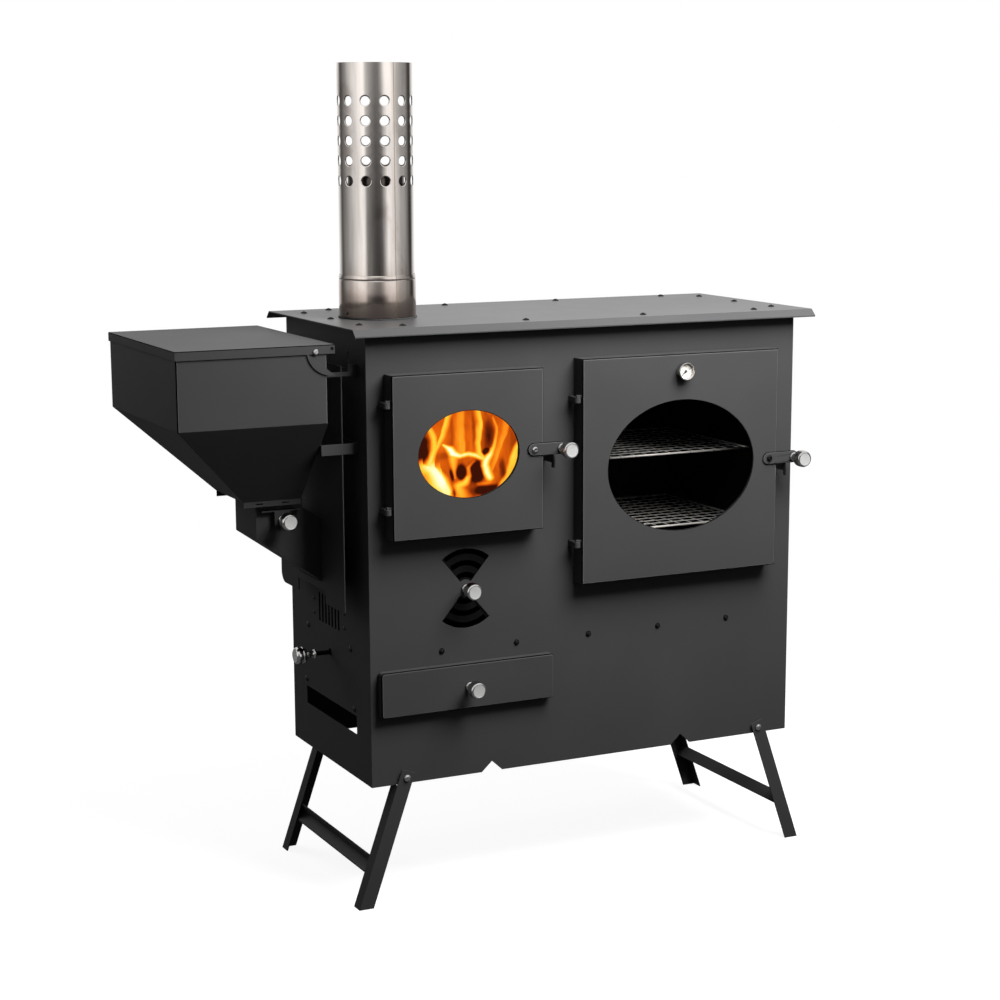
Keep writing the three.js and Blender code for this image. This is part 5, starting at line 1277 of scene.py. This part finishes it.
def set_camera():
    eye = bpy.data.cameras.new("camera")
    eye.sensor_width = SENSOR
    eye.lens = LENS
    eye.shift_x, eye.shift_y = LENS_SHIFT
    eye.clip_end = 2.5 * FLOOR_REACH
    camera = linked("camera", eye)
    camera.location = EYE
    turn, tilt = math.radians(CAMERA_TURN), math.radians(CAMERA_TILT)
    camera.rotation_mode = "XYZ"
    camera.rotation_euler = (math.pi / 2 - tilt, 0.0, -turn)
    bpy.context.scene.camera = camera
    bpy.context.scene.view_settings.view_transform = "Standard"


# Sizes and colours that a user may change


def colour_setting(name, description, default):
    return bpy.props.FloatVectorProperty(
        name=name, description=description, subtype="COLOR", size=3, default=default, min=0.0,
        max=1.0)


def length_setting(name, description, default, least, most):
    return bpy.props.FloatProperty(
        name=name, description=description, subtype="DISTANCE", unit="LENGTH", default=default,
        min=least, max=most)


def count_setting(name, description, default, least, most):
    return bpy.props.IntProperty(
        name=name, description=description, default=default, min=least, max=most)


class StoveLooks(bpy.types.PropertyGroup):
    """Sizes and colours of the dressed stove."""

    coat_colour: colour_setting(
        "Coat colour", "Colour of the powder coat", (0.052, 0.052, 0.0525))
    plate_colour: colour_setting(
        "Hot plate colour", "Colour of the hot plate", (0.06, 0.06, 0.061))
    soot_colour: colour_setting(
        "Inner sheet colour", "Colour of the sooted inner sheets", (0.006, 0.006, 0.006))
    steel_colour: colour_setting(
        "Bright steel colour", "Colour of knobs and bright screws", (0.6, 0.59, 0.58))
    pipe_colour: colour_setting(
        "Chimney colour", "Colour of the rolled stainless steel", (0.76, 0.71, 0.67))
    heat_colour: colour_setting(
        "Heat tint", "Brown tint that heat leaves on the chimney", (0.28, 0.2, 0.16))
    coat_roughness: bpy.props.FloatProperty(
        name="Coat roughness", description="Roughness of the powder coat", subtype="FACTOR",
        default=0.5, min=0.0, max=1.0)
    flame_strength: bpy.props.FloatProperty(
        name="Flame strength", description="How bright the flames glow", default=1.12,
        min=0.0, max=10.0)
    seam_turn: bpy.props.FloatProperty(
        name="Seam turn", description="Where the chimney's weld seam is, in degrees round it",
        default=-83.0, min=-180.0, max=180.0)
    edge_reach: length_setting(
        "Edge rounding", "Reach of the rounded edges", 0.0021, 0.0002, 0.003)
    head_radius: length_setting(
        "Screw head radius", "Radius of the button heads", 0.00475, 0.001, 0.02)
    head_height: length_setting(
        "Screw head height", "Height of the button heads", 0.0026, 0.0005, 0.02)
    hole_radius: length_setting(
        "Perforation radius", "Radius of the holes in the chimney", 0.0066, 0.001, 0.01)
    wire_radius: length_setting(
        "Rack wire radius", "Radius of a rack's wires across", 0.0007, 0.0003, 0.003)
    long_wires: count_setting("Long wires", "Wires from front to back in a rack", 14, 2, 60)
    cross_wires: count_setting("Cross wires", "Wires across a rack", 10, 2, 60)
    pellet_radius: length_setting("Pellet radius", "Radius of one pellet", 0.003, 0.001, 0.01)
    pellet_seed: count_setting("Pellet seed", "Seed of the pellet heap", 4, 0, 999)


# Operators


class StoveOperator:
    """What the stove's operators share."""

    bl_options = {"REGISTER", "UNDO"}

    def execute(self, context):
        self.make(context.scene.stove_looks)
        return {"FINISHED"}


NODE_FINISHES = {
    "top_plate": "hot_plate",
    "thermometer_dial": "dial_white",
    "thermometer_needle": "dial_black",
    "thermometer_case": "bright_steel",
    "lid_stop_screw": "bright_steel",
    "lid_hinge_pin": "black_oxide",
    "ash_slide": "black_oxide",
    "oven_latch_screw": "black_oxide",
    "firebox_latch_screw": "bright_steel",
    "chimney_base_ring": "sleeve_steel",
    "chimney_sleeve": "sleeve_steel",
    "flue_pipe": "flue_steel_painted_shade",
}
ENDING_FINISHES = {
    "_knob": "bright_steel", "_glass": "window_glass", "_lens": "window_glass",
    "_glass_frame": "inner_steel",
}
INNER_NODES = ["inner_shelf", "partition", "firebox_liner", "burner_pot", "oven_box",
               "air_damper", "ash_tray", "drawer_guide"]


class STOVE_OT_finishes(StoveOperator, bpy.types.Operator):
    """Give every solid of the stove its finish"""

    bl_idname = "stove.finishes"
    bl_label = "Finishes"

    def make(self, looks):
        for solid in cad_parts.values():
            solid.data.materials.clear()
        for old in list(bpy.data.materials):
            bpy.data.materials.remove(old)
        for node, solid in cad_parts.items():
            finish = NODE_FINISHES.get(node, "black_coat")
            for ending, ended in ENDING_FINISHES.items():
                finish = ended if node.endswith(ending) else finish
            if node in INNER_NODES:
                finish = "inner_steel"
            elif "pivot" in node:
                finish = "bright_steel"
            elif "rack" in node:
                finish = "rack_steel"
            solid.data.materials.append(finish_named(finish))


class STOVE_OT_edges(StoveOperator, bpy.types.Operator):
    """Round the outward edges of the doors, drawer, latches and hopper, with painted highlight and
    painted shade lines on the rounding
    """

    bl_idname = "stove.edges"
    bl_label = "Rounded edges"

    def make(self, looks):
        for node, body, outward, share in (
                ("firebox_door", "firebox_door", FORWARD, 1.0),
                ("oven_door", "oven_door", FORWARD, 1.0),
                ("ash_drawer_front", "ash_drawer", FORWARD, 1.0),
                ("hopper_bin", "root", FORWARD, 1.0),
                ("hopper_lid", "hopper_lid", UPWARD, 0.6),
                ("firebox_latch", "firebox_latch", FORWARD, 0.7),
                ("oven_latch", "oven_latch", FORWARD, 0.7)):
            edged(node, body, outward, looks.edge_reach * share)


class STOVE_OT_screws(StoveOperator, bpy.types.Operator):
    """Set the button heads on the hot plate, the front and the left side"""

    bl_idname = "stove.screws"
    bl_label = "Screws"

    def make(self, looks):
        top, shelf = 620.3, 178.8
        plate = [(x, y, top) for y in (13, 278.5) for x in (59, 239.5, 420.5, 601)]
        plate += [(x, y, top) for x in (9.8, 650.2) for y in (44.5, 145.75, 247)]
        screw_set("plate_screws", plate, UPWARD, looks)
        front = [(x, 0, shelf) for x in (104.8, 217.6, 329.6, 441.2, 554.3)]
        screw_set("front_screws", front, FORWARD, looks, 0.9)
        vent = [(0, 204.4, 223.3), (0, 204.2, 202.7), (0, 90.6, 222.9), (0, 90.5, 202.7)]
        screw_set("vent_screws", vent, LEFTWARD, looks, 0.6)
        side = [(0, 228.6, 179.7), (0, 69.9, 177.9), (0, 238.6, 98.3), (0, 58.9, 96.0)]
        screw_set("side_screws", side, LEFTWARD, looks, 0.9)


class STOVE_OT_knobs(StoveOperator, bpy.types.Operator):
    """Turn the knobs of the latches, damper, drawer, slide and gate"""

    bl_idname = "stove.knobs"
    bl_label = "Knobs"

    def make(self, looks):
        for body in ("firebox_latch", "oven_latch", "air_damper", "ash_drawer", "hopper_gate"):
            shown_knob(body + "_knob", body, FORWARD)
        shown_knob("ash_slide_knob", "ash_slide", LEFTWARD)


class STOVE_OT_latch_screws(StoveOperator, bpy.types.Operator):
    """Turn the pivot screws of both latches"""

    bl_idname = "stove.latch_screws"
    bl_label = "Latch screws"

    def make(self, looks):
        shown_bolt("firebox_latch_screw", "firebox_door", "bright_steel")
        shown_bolt("oven_latch_screw", "oven_door", "black_oxide")


class STOVE_OT_thermometer(StoveOperator, bpy.types.Operator):
    """Turn the thermometer's case and print its dial"""

    bl_idname = "stove.thermometer"
    bl_label = "Thermometer"

    def make(self, looks):
        shown_thermometer()


class STOVE_OT_chimney(StoveOperator, bpy.types.Operator):
    """Roll the chimney's sleeve, inner pipe and base ring"""

    bl_idname = "stove.chimney"
    bl_label = "Chimney"

    def make(self, looks):
        shown_sleeve(looks)
        shown_pipe()


class STOVE_OT_racks(StoveOperator, bpy.types.Operator):
    """Weld the two oven racks from wire"""

    bl_idname = "stove.racks"
    bl_label = "Oven racks"

    def make(self, looks):
        shown_rack("oven_rack_upper", looks)
        shown_rack("oven_rack_lower", looks)


class STOVE_OT_fire(StoveOperator, bpy.types.Operator):
    """Light the pellets and raise the flames over them"""

    bl_idname = "stove.fire"
    bl_label = "Fire"

    def make(self, looks):
        ember_heap(looks)
        for sheet in FLAMES:
            flame_sheet(*sheet)


class STOVE_OT_stage(StoveOperator, bpy.types.Operator):
    """Set the floor, the lights, the world and the camera"""

    bl_idname = "stove.stage"
    bl_label = "Stage"

    def make(self, looks):
        lay_floor()
        light_world()
        for lamp in LAMPS:
            hang_light(*lamp)
        hang_studio_wall()
        set_camera()


STEPS = [
    STOVE_OT_finishes, STOVE_OT_edges, STOVE_OT_screws, STOVE_OT_knobs, STOVE_OT_latch_screws,
    STOVE_OT_thermometer, STOVE_OT_chimney, STOVE_OT_racks, STOVE_OT_fire, STOVE_OT_stage,
]


# Panel and start


class STOVE_PT_panel(bpy.types.Panel):
    """Lists the stove's sizes and steps"""

    bl_idname = "STOVE_PT_panel"
    bl_label = "Outdoor stove"
    bl_space_type = "VIEW_3D"
    bl_region_type = "UI"
    bl_category = "Stove"

    def draw(self, context):
        for name in StoveLooks.__annotations__:
            self.layout.prop(context.scene.stove_looks, name)
        for step in STEPS:
            self.layout.operator(step.bl_idname)


CLASSES = [StoveLooks, *STEPS, STOVE_PT_panel]


def register():
    for one in CLASSES:
        bpy.utils.register_class(one)
    bpy.types.Scene.stove_looks = bpy.props.PointerProperty(type=StoveLooks)


def unregister():
    del bpy.types.Scene.stove_looks
    for one in reversed(CLASSES):
        bpy.utils.unregister_class(one)


def main():
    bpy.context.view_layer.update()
    register()
    for step in STEPS:
        group, name = step.bl_idname.split(".")
        getattr(getattr(bpy.ops, group), name)()


if __name__ == "__main__":
    main()
